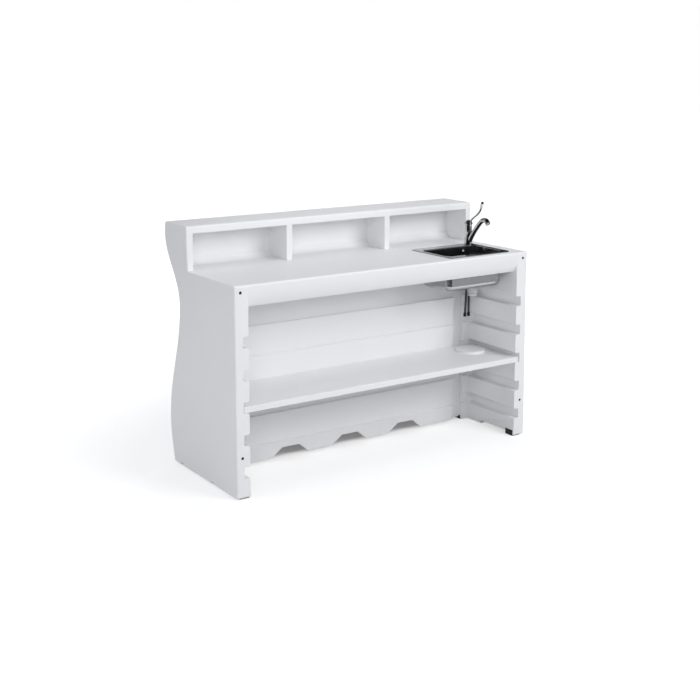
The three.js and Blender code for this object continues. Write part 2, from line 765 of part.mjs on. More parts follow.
function overflowRosette() {
  const plate = solid(turned([
    [0, -SEAT - OVERFLOW_PLATE],
    [OVERFLOW_RADIUS - 1, -SEAT - OVERFLOW_PLATE],
    [OVERFLOW_RADIUS, -SEAT],
    [OVERFLOW_HOLE - SEAT, -SEAT],
    [OVERFLOW_HOLE - SEAT, SHEET + OVERFLOW_NUT + 1],
    [0, SHEET + OVERFLOW_NUT + 1],
  ]));
  const slots = Array.from({ length: 6 }, (_, i) => {
    const hole = disc(1.8, -PAST, -SEAT + 1, 10);
    const angle = (i * Math.PI) / 3;
    return solid(placed(hole, 6 * Math.cos(angle), 6 * Math.sin(angle), 0));
  });
  const body = slots.reduce((whole, slot) => whole.subtract(slot), plate);
  return overflowPlaced(geometryOf(body));
}

function overflowNut() {
  const nut = solid(ring(OVERFLOW_HOLE, OVERFLOW_RADIUS, SHEET + SEAT, SHEET + OVERFLOW_NUT));
  return overflowPlaced(geometryOf(nut));
}

function wastePlaced(body) {
  return placed(geometryOf(body), wasteX, wasteDepth, bowlFloor);
}

function wasteStrainer() {
  const tail = -SHEET - WASTE_SEAL_THICK - SEAT;
  const cup = solid(turned([
    [0, SEAT],
    [WASTE_HOLE - SEAT - STRAINER_THICK, SEAT],
    [WASTE_HOLE - SEAT - STRAINER_THICK, tail],
    [WASTE_HOLE - SEAT, tail],
    [WASTE_HOLE - SEAT, SEAT],
    [STRAINER_RADIUS, SEAT],
    [STRAINER_RADIUS - 2, SEAT + STRAINER_THICK],
    [0, SEAT + STRAINER_THICK],
  ]));
  const slots = Array.from({ length: STRAINER_SLOTS }, (_, i) => {
    const slot = new THREE.BoxGeometry(WASTE_HOLE * 0.5, 3, PAST);
    slot.translate(WASTE_HOLE * 0.55, 0, 0);
    slot.rotateZ((i * 2 * Math.PI) / STRAINER_SLOTS);
    return solid(slot);
  });
  return wastePlaced(slots.reduce((whole, slot) => whole.subtract(slot), cup));
}

function wasteSeal() {
  const top = -SHEET - SEAT;
  return wastePlaced(solid(ring(WASTE_HOLE, WASTE_BODY_RADIUS, top - WASTE_SEAL_THICK, top)));
}

function wasteBody() {
  const top = -SHEET - WASTE_SEAL_THICK - 2 * SEAT;
  const bottom = top - WASTE_BODY_DROP;
  const shoulder = bottom + WASTE_NUT_HEIGHT + WASTE_WALL * 2;
  const inner = WASTE_BODY_RADIUS - WASTE_WALL;
  const bore = OUTLET_RADIUS - WASTE_WALL;
  return wastePlaced(solid(turned([
    [inner, top],
    [WASTE_BODY_RADIUS, top],
    [WASTE_BODY_RADIUS, shoulder + 6],
    [WASTE_BODY_RADIUS - 3, shoulder],
    [OUTLET_RADIUS, shoulder],
    [OUTLET_RADIUS, bottom],
    [bore, bottom],
    [bore, shoulder + WASTE_WALL],
    [inner - 3, shoulder + WASTE_WALL],
    [inner, shoulder + 6 + WASTE_WALL],
    [inner, top],
  ])));
}

function wasteNut() {
  const bottom = -SHEET - WASTE_SEAL_THICK - 2 * SEAT - WASTE_BODY_DROP;
  const z0 = bottom + WASTE_WALL;
  return wastePlaced(solid(ring(OUTLET_RADIUS + SEAT, WASTE_NUT_RADIUS, z0, z0 + WASTE_NUT_HEIGHT)));
}

// Tap, in its own frame: axis at the origin, deck at zero, bartender towards -Y

const hubLow = RING_HEIGHT + SEAT + 3;
const hubHigh = hubLow + 2 * SEAT + HUB_HEIGHT;
const boreRadius = CARRIER_RADIUS + SEAT;

function tapRoute(route) {
  return route.map(([reach, height]) => new THREE.Vector3(0, -reach, height));
}

// Turns a geometry made along +Z to point along a route's last stretch, standing at its end.
function atEndOf(route, geometry) {
  const points = tapRoute(route);
  const end = points.at(-1);
  const heading = new THREE.CatmullRomCurve3(points).getTangent(1);
  const turn = new THREE.Quaternion().setFromUnitVectors(new THREE.Vector3(0, 0, 1), heading);
  geometry.applyQuaternion(turn);
  return placed(geometry, end.x, end.y, end.z);
}

function arcProfile(radius, middle, from, to, steps) {
  return Array.from({ length: steps + 1 }, (_, i) => {
    const angle = from + ((to - from) * i) / steps;
    return [radius * Math.cos(angle), middle + radius * Math.sin(angle)];
  });
}

function baseRing() {
  return geometryOf(solid(turned([
    [TAP_HOLE, SEAT],
    [RING_RADIUS, SEAT],
    [RING_RADIUS, RING_HEIGHT / 2],
    [RING_RADIUS - 1.5, RING_HEIGHT],
    [TAP_HOLE, RING_HEIGHT],
    [TAP_HOLE, SEAT],
  ])));
}

function tapBody() {
  const neckAngle = -Math.acos(COLUMN_RADIUS / BALL_RADIUS);
  const ball = arcProfile(BALL_RADIUS, PIVOT_HEIGHT, neckAngle, Math.PI / 2, 8);
  const column = solid(turned([
    [0, RING_HEIGHT + SEAT],
    [FOOT_FLANGE_RADIUS, RING_HEIGHT + SEAT],
    [FOOT_FLANGE_RADIUS, hubLow],
    [NECK_RADIUS, hubLow],
    [NECK_RADIUS, hubHigh],
    [SHOULDER_RADIUS, hubHigh],
    [SHOULDER_RADIUS, hubHigh + SHOULDER_HEIGHT],
    [COLUMN_RADIUS + COLUMN_FLARE, hubHigh + FLARE_HEIGHT],
    ...ball.slice(0, -1),
    [0, PIVOT_HEIGHT + BALL_RADIUS],
  ]));
  const bore = solid(disc(boreRadius, PIVOT_HEIGHT - CARRIER_DROP - SEAT, PIVOT_HEIGHT + CAP_RADIUS));
  return geometryOf(column.subtract(bore));
}

function spout() {
  const hub = solid(disc(HUB_RADIUS, hubLow + SEAT, hubLow + SEAT + HUB_HEIGHT));
  const pipe = solid(tube(tapRoute(SPOUT_ROUTE), SPOUT_RADIUS, 24));
  const neck = solid(disc(NECK_RADIUS + RUN, 0, hubHigh));
  const shoulder = solid(disc(SHOULDER_RADIUS + RUN + 0.5, hubHigh - SEAT, PIVOT_HEIGHT));
  const under = block(-PAST * 2, PAST * 2, -RING_RADIUS, PAST, -PAST, hubLow + SEAT);
  return geometryOf(hub.add(pipe).subtract(neck).subtract(shoulder).subtract(under));
}

function aerator() {
  const nozzle = solid(turned([
    [0, SEAT],
    [AERATOR_RADIUS, SEAT],
    [AERATOR_RADIUS, AERATOR_LENGTH - 2],
    [AERATOR_RADIUS - 1.5, AERATOR_LENGTH],
    [AERATOR_RADIUS - 4, AERATOR_LENGTH],
    [AERATOR_RADIUS - 4, AERATOR_LENGTH - 3],
    [0, AERATOR_LENGTH - 3],
  ]));
  return atEndOf(SPOUT_ROUTE, geometryOf(nozzle));
}

// The carrier turns in the body's bore; its slot lets the handle's stem tilt.
function cartridgeCarrier() {
  const drum = solid(disc(CARRIER_RADIUS, PIVOT_HEIGHT - CARRIER_DROP, PIVOT_HEIGHT + CARRIER_RISE));
  const slot = block(
    -STEM_SLOT, STEM_SLOT, -STEM_SLOT - 1.5, CARRIER_RADIUS + PAST,
    PIVOT_HEIGHT - 2 * STEM_RADIUS, PIVOT_HEIGHT + PAST);
  return geometryOf(drum.subtract(slot));
}

function handleCap() {
  const inner = BALL_RADIUS + CAP_CLEAR;
  const outside = arcProfile(CAP_RADIUS, PIVOT_HEIGHT, 0, Math.PI / 2, 8).slice(0, -1);
  const inside = arcProfile(inner, PIVOT_HEIGHT, Math.PI / 2, 0, 8).slice(1);
  const dome = solid(turned([
    ...outside,
    [0, PIVOT_HEIGHT + CAP_RADIUS],
    [0, PIVOT_HEIGHT + inner],
    ...inside,
    outside[0],
  ]));
  const stem = solid(disc(STEM_RADIUS, PIVOT_HEIGHT - STEM_RADIUS, PIVOT_HEIGHT + inner + 2, 12));
  return geometryOf(dome.add(stem));
}

function handleLever() {
  const rod = solid(tube(tapRoute(LEVER_ROUTE), LEVER_RADIUS, 16, 10));
  const grip = atEndOf(LEVER_ROUTE, turned([
    [0, -GRIP_LENGTH / 2],
    [LEVER_RADIUS, -GRIP_LENGTH / 2],
    [GRIP_RADIUS * 0.85, -GRIP_LENGTH / 6],
    [GRIP_RADIUS, GRIP_LENGTH / 4],
    [GRIP_RADIUS, GRIP_LENGTH / 2],
    [0, GRIP_LENGTH / 2],
  ], 16));
  const capRoom = new THREE.SphereGeometry(CAP_RADIUS + SEAT, TURN_STEPS, 16);
  return geometryOf(rod.add(solid(grip)).subtract(solid(placed(capRoom, 0, 0, PIVOT_HEIGHT))));
}

function leverTip() {
  const start = GRIP_LENGTH / 2 + SEAT;
  const tip = solid(turned([
    [0, start],
    [GRIP_RADIUS, start],
    [GRIP_RADIUS, start + TIP_LENGTH * 0.55],
    [GRIP_RADIUS * 0.7, start + TIP_LENGTH * 0.9],
    [0, start + TIP_LENGTH],
  ], 16));
  return atEndOf(LEVER_ROUTE, geometryOf(tip));
}

const washerTop = -SHEET - SEAT;

function tapStud() {
  const stud = disc(STUD_RADIUS, RING_HEIGHT - STUD_LENGTH, RING_HEIGHT, 12);
  return geometryOf(solid(placed(stud, 0, STUD_OFFSET, 0)));
}

function clampWasher() {
  const plate = solid(disc(WASHER_RADIUS, washerTop - WASHER_THICK, washerTop));
  const hosesRoom = block(
    -WASHER_RADIUS * 0.66, WASHER_RADIUS * 0.66, -WASHER_RADIUS - 1, HOSE_RADIUS - 1,
    washerTop - PAST, washerTop + 1);
  const studHole = solid(placed(disc(STUD_RADIUS + SEAT, -PAST, PAST, 12), 0, STUD_OFFSET, washerTop));
  return geometryOf(plate.subtract(hosesRoom).subtract(studHole));
}

function clampNut() {
  const top = washerTop - WASHER_THICK - SEAT;
  const nut = solid(disc(CLAMP_NUT_RADIUS, top - CLAMP_NUT_HEIGHT, top, 6));
  const hole = solid(disc(STUD_RADIUS + SEAT, top - PAST, top + 1, 12));
  return placed(geometryOf(nut.subtract(hole)), 0, STUD_OFFSET, 0);
}

function hoseLine({ side, drift }) {
  return Array.from({ length: HOSE_STEPS + 1 }, (_, i) => {
    const share = i / HOSE_STEPS;
    const sideways = side + drift * share ** HOSE_BEND;
    return new THREE.Vector3(sideways, HOSE_DEPTH_OFFSET, RING_HEIGHT - HOSE_LENGTH * share);
  });
}

function hose(place) {
  return geometryOf(solid(tube(hoseLine(place), HOSE_RADIUS, HOSE_STEPS, 10)));
}

// Six-sided union nut at the free end, open for the valve's thread.
function hoseNut(place) {
  const points = hoseLine(place);
  const socket = HOSE_NUT_LENGTH - HOSE_NUT_SOCKET;
  const nut = turned([
    [0, SEAT],
    [HOSE_NUT_RADIUS - HOSE_NUT_CHAMFER, SEAT],
    [HOSE_NUT_RADIUS, SEAT + 2 * HOSE_NUT_CHAMFER],
    [HOSE_NUT_RADIUS, HOSE_NUT_LENGTH],
    [HOSE_NUT_RADIUS - HOSE_NUT_WALL, HOSE_NUT_LENGTH],
    [HOSE_NUT_RADIUS - HOSE_NUT_WALL, socket],
    [0, socket],
  ], 6);
  const heading = new THREE.CatmullRomCurve3(points).getTangent(1);
  nut.applyQuaternion(new THREE.Quaternion().setFromUnitVectors(new THREE.Vector3(0, 0, 1), heading));
  const end = points.at(-1);
  return geometryOf(solid(placed(nut, end.x, end.y, end.z)));
}

// Finishes

const FINISHES = {
  moulded: { color: 0xe6e6e8, roughness: 0.5, metalness: 0 },
  board: { color: 0xe9e9ea, roughness: 0.45, metalness: 0 },
  rubber: { color: 0x141414, roughness: 0.8, metalness: 0 },
  blackSteel: { color: 0x1c1c1e, roughness: 0.5, metalness: 0.6 },
  steel: { color: 0xb9bbbe, roughness: 0.28, metalness: 1 },
  chrome: { color: 0xd5d7da, roughness: 0.08, metalness: 1 },
  pipe: { color: 0xdcdddf, roughness: 0.5, metalness: 0 },
  seal: { color: 0x3a3b3d, roughness: 0.85, metalness: 0 },
  braid: { color: 0x33353a, roughness: 0.45, metalness: 0.4 },
  brass: { color: 0xb08d46, roughness: 0.4, metalness: 1 },
  ceramic: { color: 0xd8d2c4, roughness: 0.6, metalness: 0 },
};

const counter = new THREE.Group();
counter.position.y = -overallDepth / 2;

function addPart(group, name, geometry, finish) {
  const mesh = new THREE.Mesh(geometry, new THREE.MeshStandardMaterial(FINISHES[finish]));
  mesh.name = name;
  group.add(mesh);
  return mesh;
}

// Assembly: moulded body, shelf, feet and bolts

const rightEnd = endPanel();
addPart(counter, 'right_end_panel', rightEnd, 'moulded');
addPart(counter, 'left_end_panel', mirrored(rightEnd), 'moulded');
addPart(counter, 'front_shell', frontShell(), 'moulded');
addPart(counter, 'inner_panel', innerPanel(), 'moulded');
addPart(counter, 'worktop', worktop(), 'moulded');
addPart(counter, 'bar_top', barTop(), 'moulded');
addPart(counter, 'left_divider', divider(-DIVIDER_OFFSET), 'moulded');
addPart(counter, 'right_divider', divider(DIVIDER_OFFSET), 'moulded');
addPart(counter, 'storage_shelf', shelf(), 'board');
feet.forEach((place) => {
  const geometry = foot(place);
  addPart(counter, `${place.name}_right_foot`, geometry, 'rubber');
  addPart(counter, `${place.name}_left_foot`, mirrored(geometry), 'rubber');
});
Object.entries(boltHeights).forEach(([level, height]) => {
  addPart(counter, `${level}_right_bolt`, bolt(), 'blackSteel').position.set(boltX, 0, height);
  addPart(counter, `${level}_left_bolt`, bolt(), 'blackSteel').position.set(-boltX, 0, height);
});

// Assembly: sink and waste

addPart(counter, 'sink', sink(), 'steel');
addPart(counter, 'sink_seal', sinkSeal(), 'seal');
const clips = [
  { name: 'left_near_clip', x: cut.left, depth: wasteDepth - CLIP_SPREAD, turn: Math.PI / 2 },
  { name: 'left_far_clip', x: cut.left, depth: wasteDepth + CLIP_SPREAD, turn: Math.PI / 2 },
  { name: 'right_near_clip', x: cut.right, depth: wasteDepth - CLIP_SPREAD, turn: -Math.PI / 2 },
  { name: 'right_far_clip', x: cut.right, depth: wasteDepth + CLIP_SPREAD, turn: -Math.PI / 2 },
];
clips.forEach(({ name, x, depth, turn }) => {
  const clip = addPart(counter, name, sinkClip(), 'steel');
  clip.position.set(x, depth, 0);
  clip.rotation.z = turn;
});
addPart(counter, 'overflow_rosette', overflowRosette(), 'chrome');
addPart(counter, 'overflow_nut', overflowNut(), 'pipe');
addPart(counter, 'waste_strainer', wasteStrainer(), 'chrome');
addPart(counter, 'waste_seal', wasteSeal(), 'seal');
addPart(counter, 'waste_body', wasteBody(), 'pipe');
addPart(counter, 'waste_nut', wasteNut(), 'pipe');

// Assembly: tap and its hoses

const tap = new THREE.Group();
tap.position.set(tapX, tapDepth, deck);
counter.add(tap);
addPart(tap, 'tap_base_ring', baseRing(), 'chrome');
addPart(tap, 'tap_body', tapBody(), 'chrome');
addPart(tap, 'tap_spout', spout(), 'chrome');
addPart(tap, 'spout_aerator', aerator(), 'chrome');
addPart(tap, 'cartridge_carrier', cartridgeCarrier(), 'ceramic');
addPart(tap, 'handle_cap', handleCap(), 'chrome');
addPart(tap, 'handle_lever', handleLever(), 'chrome');
addPart(tap, 'lever_tip', leverTip(), 'rubber');
addPart(tap, 'tap_stud', tapStud(), 'brass');
addPart(tap, 'clamp_washer', clampWasher(), 'steel');
addPart(tap, 'clamp_nut', clampNut(), 'brass');
Object.entries(HOSES).forEach(([side, place]) => {
  addPart(tap, `${side}_hose`, hose(place), 'braid');
  addPart(tap, `${side}_hose_nut`, hoseNut(place), 'blackSteel');
});

export default counter;
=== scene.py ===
"""Bar counter with shelf runners: the finish of every piece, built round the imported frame.

Metres, +Z up, in the frame's own axes: X runs along the counter and -Y faces the bartender.
"""
import math
from typing import NamedTuple

import bmesh
import bpy
from bpy.props import FloatProperty, FloatVectorProperty, PointerProperty
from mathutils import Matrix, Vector


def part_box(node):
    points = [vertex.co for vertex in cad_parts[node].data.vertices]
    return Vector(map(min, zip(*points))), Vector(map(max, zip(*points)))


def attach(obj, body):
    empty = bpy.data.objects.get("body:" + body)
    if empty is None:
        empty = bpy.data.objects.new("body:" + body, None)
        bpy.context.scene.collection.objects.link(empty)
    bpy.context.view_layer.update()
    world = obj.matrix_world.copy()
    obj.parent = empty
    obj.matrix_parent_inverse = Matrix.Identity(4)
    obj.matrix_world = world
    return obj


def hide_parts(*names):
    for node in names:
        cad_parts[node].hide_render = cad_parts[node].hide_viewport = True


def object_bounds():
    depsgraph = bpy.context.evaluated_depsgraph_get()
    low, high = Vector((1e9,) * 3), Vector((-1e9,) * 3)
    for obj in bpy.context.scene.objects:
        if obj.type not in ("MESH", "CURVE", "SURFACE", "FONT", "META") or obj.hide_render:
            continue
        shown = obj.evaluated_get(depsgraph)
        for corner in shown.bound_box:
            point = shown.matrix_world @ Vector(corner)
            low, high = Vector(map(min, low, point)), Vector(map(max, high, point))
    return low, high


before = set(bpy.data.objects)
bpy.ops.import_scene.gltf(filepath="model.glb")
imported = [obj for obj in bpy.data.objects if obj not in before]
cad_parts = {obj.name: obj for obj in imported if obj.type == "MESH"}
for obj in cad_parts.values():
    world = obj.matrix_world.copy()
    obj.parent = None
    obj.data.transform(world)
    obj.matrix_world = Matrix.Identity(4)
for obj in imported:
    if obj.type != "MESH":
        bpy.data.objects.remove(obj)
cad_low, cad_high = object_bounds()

bl_info = {
    "name": "Bar Counter",
    "version": (1, 0, 0),
    "blender": (4, 5, 0),
    "location": "3D View > Sidebar > Bar Counter",
    "description": "Dresses a bar counter with shelf runners, a sink and a mixer tap",
    "category": "Object",
}

# Fits shared by the pieces
SEAT = 0.0003
MERGE = 1e-6
FLAT_TURN = math.radians(0.6)
BEVEL_TURN = math.radians(31)
SHARP_TURN = math.radians(40)
RIB_TAPER = 0.3

# Places read from the frame
sink_low, sink_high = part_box("sink")
ring_low, ring_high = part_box("tap_base_ring")
DECK = sink_high.z
TAP_PLACE = Vector(((ring_low.x + ring_high.x) / 2, (ring_low.y + ring_high.y) / 2, DECK))
strainer_low, strainer_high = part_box("waste_strainer")
WASTE_PLACE = (strainer_low + strainer_high) / 2
rosette_low, rosette_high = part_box("overflow_rosette")
OVERFLOW_PLACE = (rosette_low + rosette_high) / 2
worktop_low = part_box("worktop")[0]
panel_low, panel_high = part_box("inner_panel")

# Where mouldings meet flush: the ends of the bar, of the front shell and of the worktop
WORKTOP_END = 0.7357
SEAM_PLANES = (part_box("bar_top")[1].x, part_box("front_shell")[1].x, WORKTOP_END)
SEAM_REACH = 0.0008

# Spout and lever centre lines: reach towards the bartender and height over the deck
SPOUT_ROUTE = ((0.012, 0.020), (0.038, 0.057), (0.066, 0.090), (0.092, 0.117), (0.108, 0.129),
               (0.124, 0.133), (0.137, 0.130), (0.143, 0.123))
LEVER_ROUTE = ((0.014, 0.115), (0.034, 0.133), (0.058, 0.149), (0.082, 0.169),
               (0.094, 0.186), (0.098, 0.199))

# Supply hoses: place beside the tap's axis and sideways drift over the whole length
HOSES = {"left": (-0.0065, -0.0095), "right": (0.0065, 0.0005)}
HOSE_BEND = 3
HOSE_POINTS = 17
HOSE_DEPTH_OFFSET = -0.003
HOSE_START = 0.004


def distance(name, description, default):
    """A length property in metres."""
    return FloatProperty(name=name, description=description, default=default, min=0, precision=4,
                         unit="LENGTH", subtype="DISTANCE")


def spot(name, description, default):
    """A point property in metres."""
    return FloatVectorProperty(name=name, description=description, default=default, precision=4,
                               unit="LENGTH", subtype="XYZ")


def watts(name, description, default):
    """The power of a lamp."""
    return FloatProperty(name=name, description=description, default=default, min=0, subtype="POWER")


def share(name, description, default):
    """A property that runs from nothing to all."""
    return FloatProperty(name=name, description=description, default=default, min=0, max=1,
                         subtype="FACTOR")


def colour(name, description, default):
    """A colour property."""
    return FloatVectorProperty(name=name, description=description, default=default, min=0, max=1,
                               subtype="COLOR")


class StageSettings(bpy.types.PropertyGroup):
    """Camera, floor and lamps."""

    camera_place: spot("Camera place", "Where the camera stands", (-3.0507, -4.4998, 1.8280))
    camera_yaw: FloatProperty(
        name="Camera yaw", description="Turn of the view to the right of +Y", default=0.5940,
        subtype="ANGLE", unit="ROTATION")
    camera_pitch: FloatProperty(
        name="Camera pitch", description="Tilt of the view below the horizon", default=0.1559,
        subtype="ANGLE", unit="ROTATION")
    camera_lens: FloatProperty(
        name="Lens", description="Focal length on a 36 mm sensor, in millimetres", default=60.722, min=1)
    camera_shift: FloatProperty(
        name="Shift", description="Upright shift of the picture, in picture widths", default=-0.15)
    ambient: colour("Ambient", "Light of the plain surround", (0.235, 0.246, 0.275))
    key_power: watts("Key", "Watts of the large lamp at the right of the camera", 140)
    key_place: spot("Key place", "Where the large lamp hangs", (2.2, -4.6, 3.4))
    fill_power: watts("Fill", "Watts of the lamp beside the camera", 70)
    fill_place: spot("Fill place", "Where the lamp beside the camera hangs", (-3.0, -4.6, 2.3))
    left_power: watts("Left", "Watts of the lamp that faces the left end", 46)
    left_place: spot("Left place", "Where the lamp that faces the left end hangs", (-5.0, 0.5, 2.2))
    top_power: watts("Top", "Watts of the broad lamp over the counter", 21)
    top_place: spot("Top place", "Where the broad lamp hangs", (0.0, -0.4, 3.6))
    back_power: watts("Back", "Watts of the lamp that faces the customers' side", 120)
    back_place: spot("Back place", "Where the lamp that faces the customers' side hangs", (3.0, 4.4, 1.1))
    floor_colour: colour("Floor", "Colour of the floor", (0.62, 0.62, 0.62))
    floor_lift: share("Floor lift", "White that the floor shows besides its own shading", 0.53)


class MouldingSettings(bpy.types.PropertyGroup):
    """White polyethylene mouldings and the loose shelf."""

    edge_round: distance("Edge round", "Rounding of the moulded edges", 0.0016)
    colour: colour("Colour", "Colour of the mouldings", (0.90, 0.901, 0.906))
    roughness: share("Roughness", "Mean roughness of the mouldings", 0.46)
    shelf_colour: colour("Shelf", "Colour of the loose shelf", (0.90, 0.901, 0.904))
    shelf_corner: distance("Shelf corner", "Rounding of the shelf's corners in plan", 0.005)
    shelf_edge: distance("Shelf edge", "Rounding of the shelf's edges", 0.0025)
    pad_radius: distance("Pad", "Radius of the shelf's raised round pad", 0.072)
    pad_height: distance("Pad height", "Rise of the pad over the shelf", 0.012)
    pad_edge: distance("Pad edge", "Rounding of the pad's edge", 0.005)


class SmallPartSettings(bpy.types.PropertyGroup):
    """Rubber feet and joining bolts."""

    foot_corner: distance("Foot corner", "Rounding of a foot's corners in plan", 0.006)
    foot_edge: distance("Foot edge", "Rounding of a foot's edges", 0.002)
    foot_colour: colour("Rubber", "Colour of the rubber", (0.012, 0.012, 0.013))
    bolt_head: distance("Bolt head", "Radius of a bolt's head", 0.0063)
    bolt_socket: distance("Bolt socket", "Corner radius of a bolt's six-sided socket", 0.003)
    bolt_shank: distance("Bolt shank", "Radius of a bolt's shank", 0.004)
    bolt_colour: colour("Black steel", "Colour of the blackened steel", (0.02, 0.02, 0.022))


class SinkSettings(bpy.types.PropertyGroup):
    """Pressed sink, its overflow and its waste."""

    sheet: distance("Sheet", "Thickness of the sink's sheet", 0.002)
    flange_corner: distance("Flange corner", "Rounding of the flange in plan", 0.022)
    bowl_side: distance("Bowl side", "Flange left and right of the bowl", 0.020)
    bowl_near: distance("Bowl near", "Flange on the bartender's side of the bowl", 0.039)
    tap_ledge: distance("Tap ledge", "Flange behind the bowl", 0.059)
    bowl_corner: distance("Bowl corner", "Rounding of the bowl in plan", 0.032)
    bowl_bottom: distance("Bowl bottom", "Rounding of the bowl's bottom edge", 0.024)
    bowl_brim: distance("Bowl brim", "Bend from the flange into the bowl", 0.004)
    waste_hole: distance("Waste hole", "Radius of the hole in the bowl's floor", 0.024)
    tap_hole: distance("Tap hole", "Radius of the hole under the tap", 0.0155)
    overflow_hole: distance("Overflow hole", "Radius of the overflow's hole", 0.009)
    steel_colour: colour("Steel", "Colour of the polished steel", (0.42, 0.425, 0.44))
    pipe_colour: colour("Pipe", "Colour of the waste fittings", (0.62, 0.63, 0.65))


class TapSettings(bpy.types.PropertyGroup):
    """Single-lever mixer tap."""

    hub_radius: distance("Hub", "Radius of the turning hub", 0.020)
    neck_radius: distance("Neck", "Radius of the neck in the hub", 0.015)
    column_radius: distance("Column", "Radius of the column", 0.0165)
    ball_radius: distance("Ball", "Radius of the ball under the cap", 0.018)
    cap_radius: distance("Cap", "Radius of the handle's cap", 0.021)
    pivot_height: distance("Pivot", "Height of the handle's pivot over the deck", 0.1015)
    spout_radius: distance("Spout", "Radius of the spout", 0.0125)
    aerator_radius: distance("Aerator", "Radius of the spout's end piece", 0.013)
    lever_radius: distance("Lever", "Radius of the lever at its foot", 0.0050)
    grip_radius: distance("Grip", "Radius of the lever at its end", 0.0068)
    chrome_colour: colour("Chrome", "Colour of the chrome", (0.62, 0.625, 0.635))


class HoseSettings(bpy.types.PropertyGroup):
    """Braided supply hoses."""

    length: distance("Length", "Length of a hose from the tap to its nut", 0.350)
    radius: distance("Radius", "Radius of a hose", 0.0055)
    braid_colour: colour("Braid", "Colour of the braid", (0.050, 0.052, 0.058))


# Node helpers


def set_inputs(tree, node, inputs):
    """Sets a node's inputs, or links them, by name or place."""
    for name, value in inputs.items():
        if isinstance(value, bpy.types.NodeSocket):
            tree.links.new(value, node.inputs[name])
        else:
            node.inputs[name].default_value = value
    return node


def add_node(tree, kind, inputs=None, **settings):
    """Adds a node with its options and its inputs."""
    node = tree.nodes.new(kind)
    for name, value in settings.items():
        setattr(node, name, value)
    return set_inputs(tree, node, inputs or {})


def add_math(tree, operation, first, second, third=0.0):
    """A number worked out from up to three others."""
    node = add_node(tree, "ShaderNodeMath", {0: first, 1: second, 2: third}, operation=operation)
    return node.outputs[0]


def add_vector(tree, operation, inputs):
    """A vector, or for a length or a dot product a number, worked out from vectors."""
    node = add_node(tree, "ShaderNodeVectorMath", inputs, operation=operation)
    return node.outputs["Value" if operation in {"LENGTH", "DOT_PRODUCT"} else "Vector"]


def add_range(tree, value, low, high, start=0.0, end=1.0, shape="LINEAR"):
    """A number that goes from start to end while a value goes from low to high."""
    inputs = {"Value": value, "From Min": low, "From Max": high, "To Min": start, "To Max": end}
    return add_node(tree, "ShaderNodeMapRange", inputs, interpolation_type=shape).outputs[0]


def add_mix(tree, factor, first, second):
    """A colour between two others."""
    inputs = {"Factor": factor, 6: first, 7: second}
    return add_node(tree, "ShaderNodeMix", inputs, data_type="RGBA").outputs[2]


def split_axes(tree, vector):
    """The three numbers of a vector."""
    return add_node(tree, "ShaderNodeSeparateXYZ", {0: vector}).outputs


def object_place(tree, scale=(1, 1, 1)):
    """Object coordinates, stretched along the axes."""
    place = add_node(tree, "ShaderNodeTexCoord").outputs["Object"]
    return add_node(tree, "ShaderNodeMapping", {"Vector": place, "Scale": scale}).outputs["Vector"]


def add_noise(tree, place, scale, detail=2.0, roughness=0.5):
    """The number of a noise texture, about one half on average."""
    inputs = {"Vector": place, "Scale": scale, "Detail": detail, "Roughness": roughness}
    return add_node(tree, "ShaderNodeTexNoise", inputs).outputs["Fac"]


# Effects shared by the finishes, each a node group

NOISE_MEAN = 0.5
FINER_GRAIN = 3.1
BRUSH_STRETCH = (14.0, 900.0, 900.0)
STREAK_STRETCH = (9.0, 9.0, 60.0)
STREAK_CUT = (0.52, 0.72)


def wandering(group, entry, mean, detail, roughness=0.5):
    """A number that wanders round a mean by the group's spread."""
    noise = add_noise(group, object_place(group), entry["Scale"], detail, roughness)
    around = add_math(group, "SUBTRACT", noise, NOISE_MEAN)
    return add_math(group, "MULTIPLY_ADD", around, entry["Spread"], mean)


def tone_drift(group, entry):
    """A colour that wanders a little lighter and darker over the surface."""
    factor = wandering(group, entry, 1.0, 3.0)
    return add_vector(group, "SCALE", {0: entry["Colour"], "Scale": factor})


def gloss_patches(group, entry):
    """A roughness that varies in soft patches."""
    return wandering(group, entry, entry["Mean"], 4.0, 0.6)


def moulded_grain(group, entry):
    """Height of a pebbled moulded skin, with a finer grain on top."""
    place = object_place(group)
    pebbles = add_noise(group, place, entry["Scale"], 1.0)
    finer = add_math(group, "MULTIPLY", entry["Scale"], FINER_GRAIN)
    grain = add_noise(group, place, finer, 2.0)
    return add_math(group, "MULTIPLY_ADD", grain, entry["Fine"], pebbles)


def brushed_lines(group, entry):
    """Height of fine lines that run along X."""
    lines = add_noise(group, object_place(group, BRUSH_STRETCH), entry["Scale"], 3.0, 0.65)
    return add_math(group, "MULTIPLY", lines, entry["Contrast"])


def low_scuffs(group, entry):
    """Mask of scuffs that fade out above the floor."""
    height = split_axes(group, object_place(group))["Z"]
    fade = add_range(group, height, 0.0, entry["Reach"], 1.0, 0.0, "SMOOTHSTEP")
    streaks = add_noise(group, object_place(group, STREAK_STRETCH), 4.0, 5.0, 0.7)
    mask = add_math(group, "MULTIPLY", fade, add_range(group, streaks, *STREAK_CUT))
    return add_math(group, "MULTIPLY", mask, entry["Amount"])


# Each effect's maker, its inputs with their usual values, and its output
SHARED_EFFECTS = {
    "tone_drift": (tone_drift, {"Colour": (1.0, 1.0, 1.0, 1.0), "Scale": 3.0, "Spread": 0.05}, "Colour"),
    "gloss_patches": (gloss_patches, {"Mean": 0.5, "Spread": 0.2, "Scale": 12.0}, "Roughness"),
    "moulded_grain": (moulded_grain, {"Scale": 300.0, "Fine": 0.3}, "Height"),
    "brushed_lines": (brushed_lines, {"Scale": 1.0, "Contrast": 1.0}, "Height"),
    "low_scuffs": (low_scuffs, {"Reach": 0.12, "Amount": 1.0}, "Mask"),
}


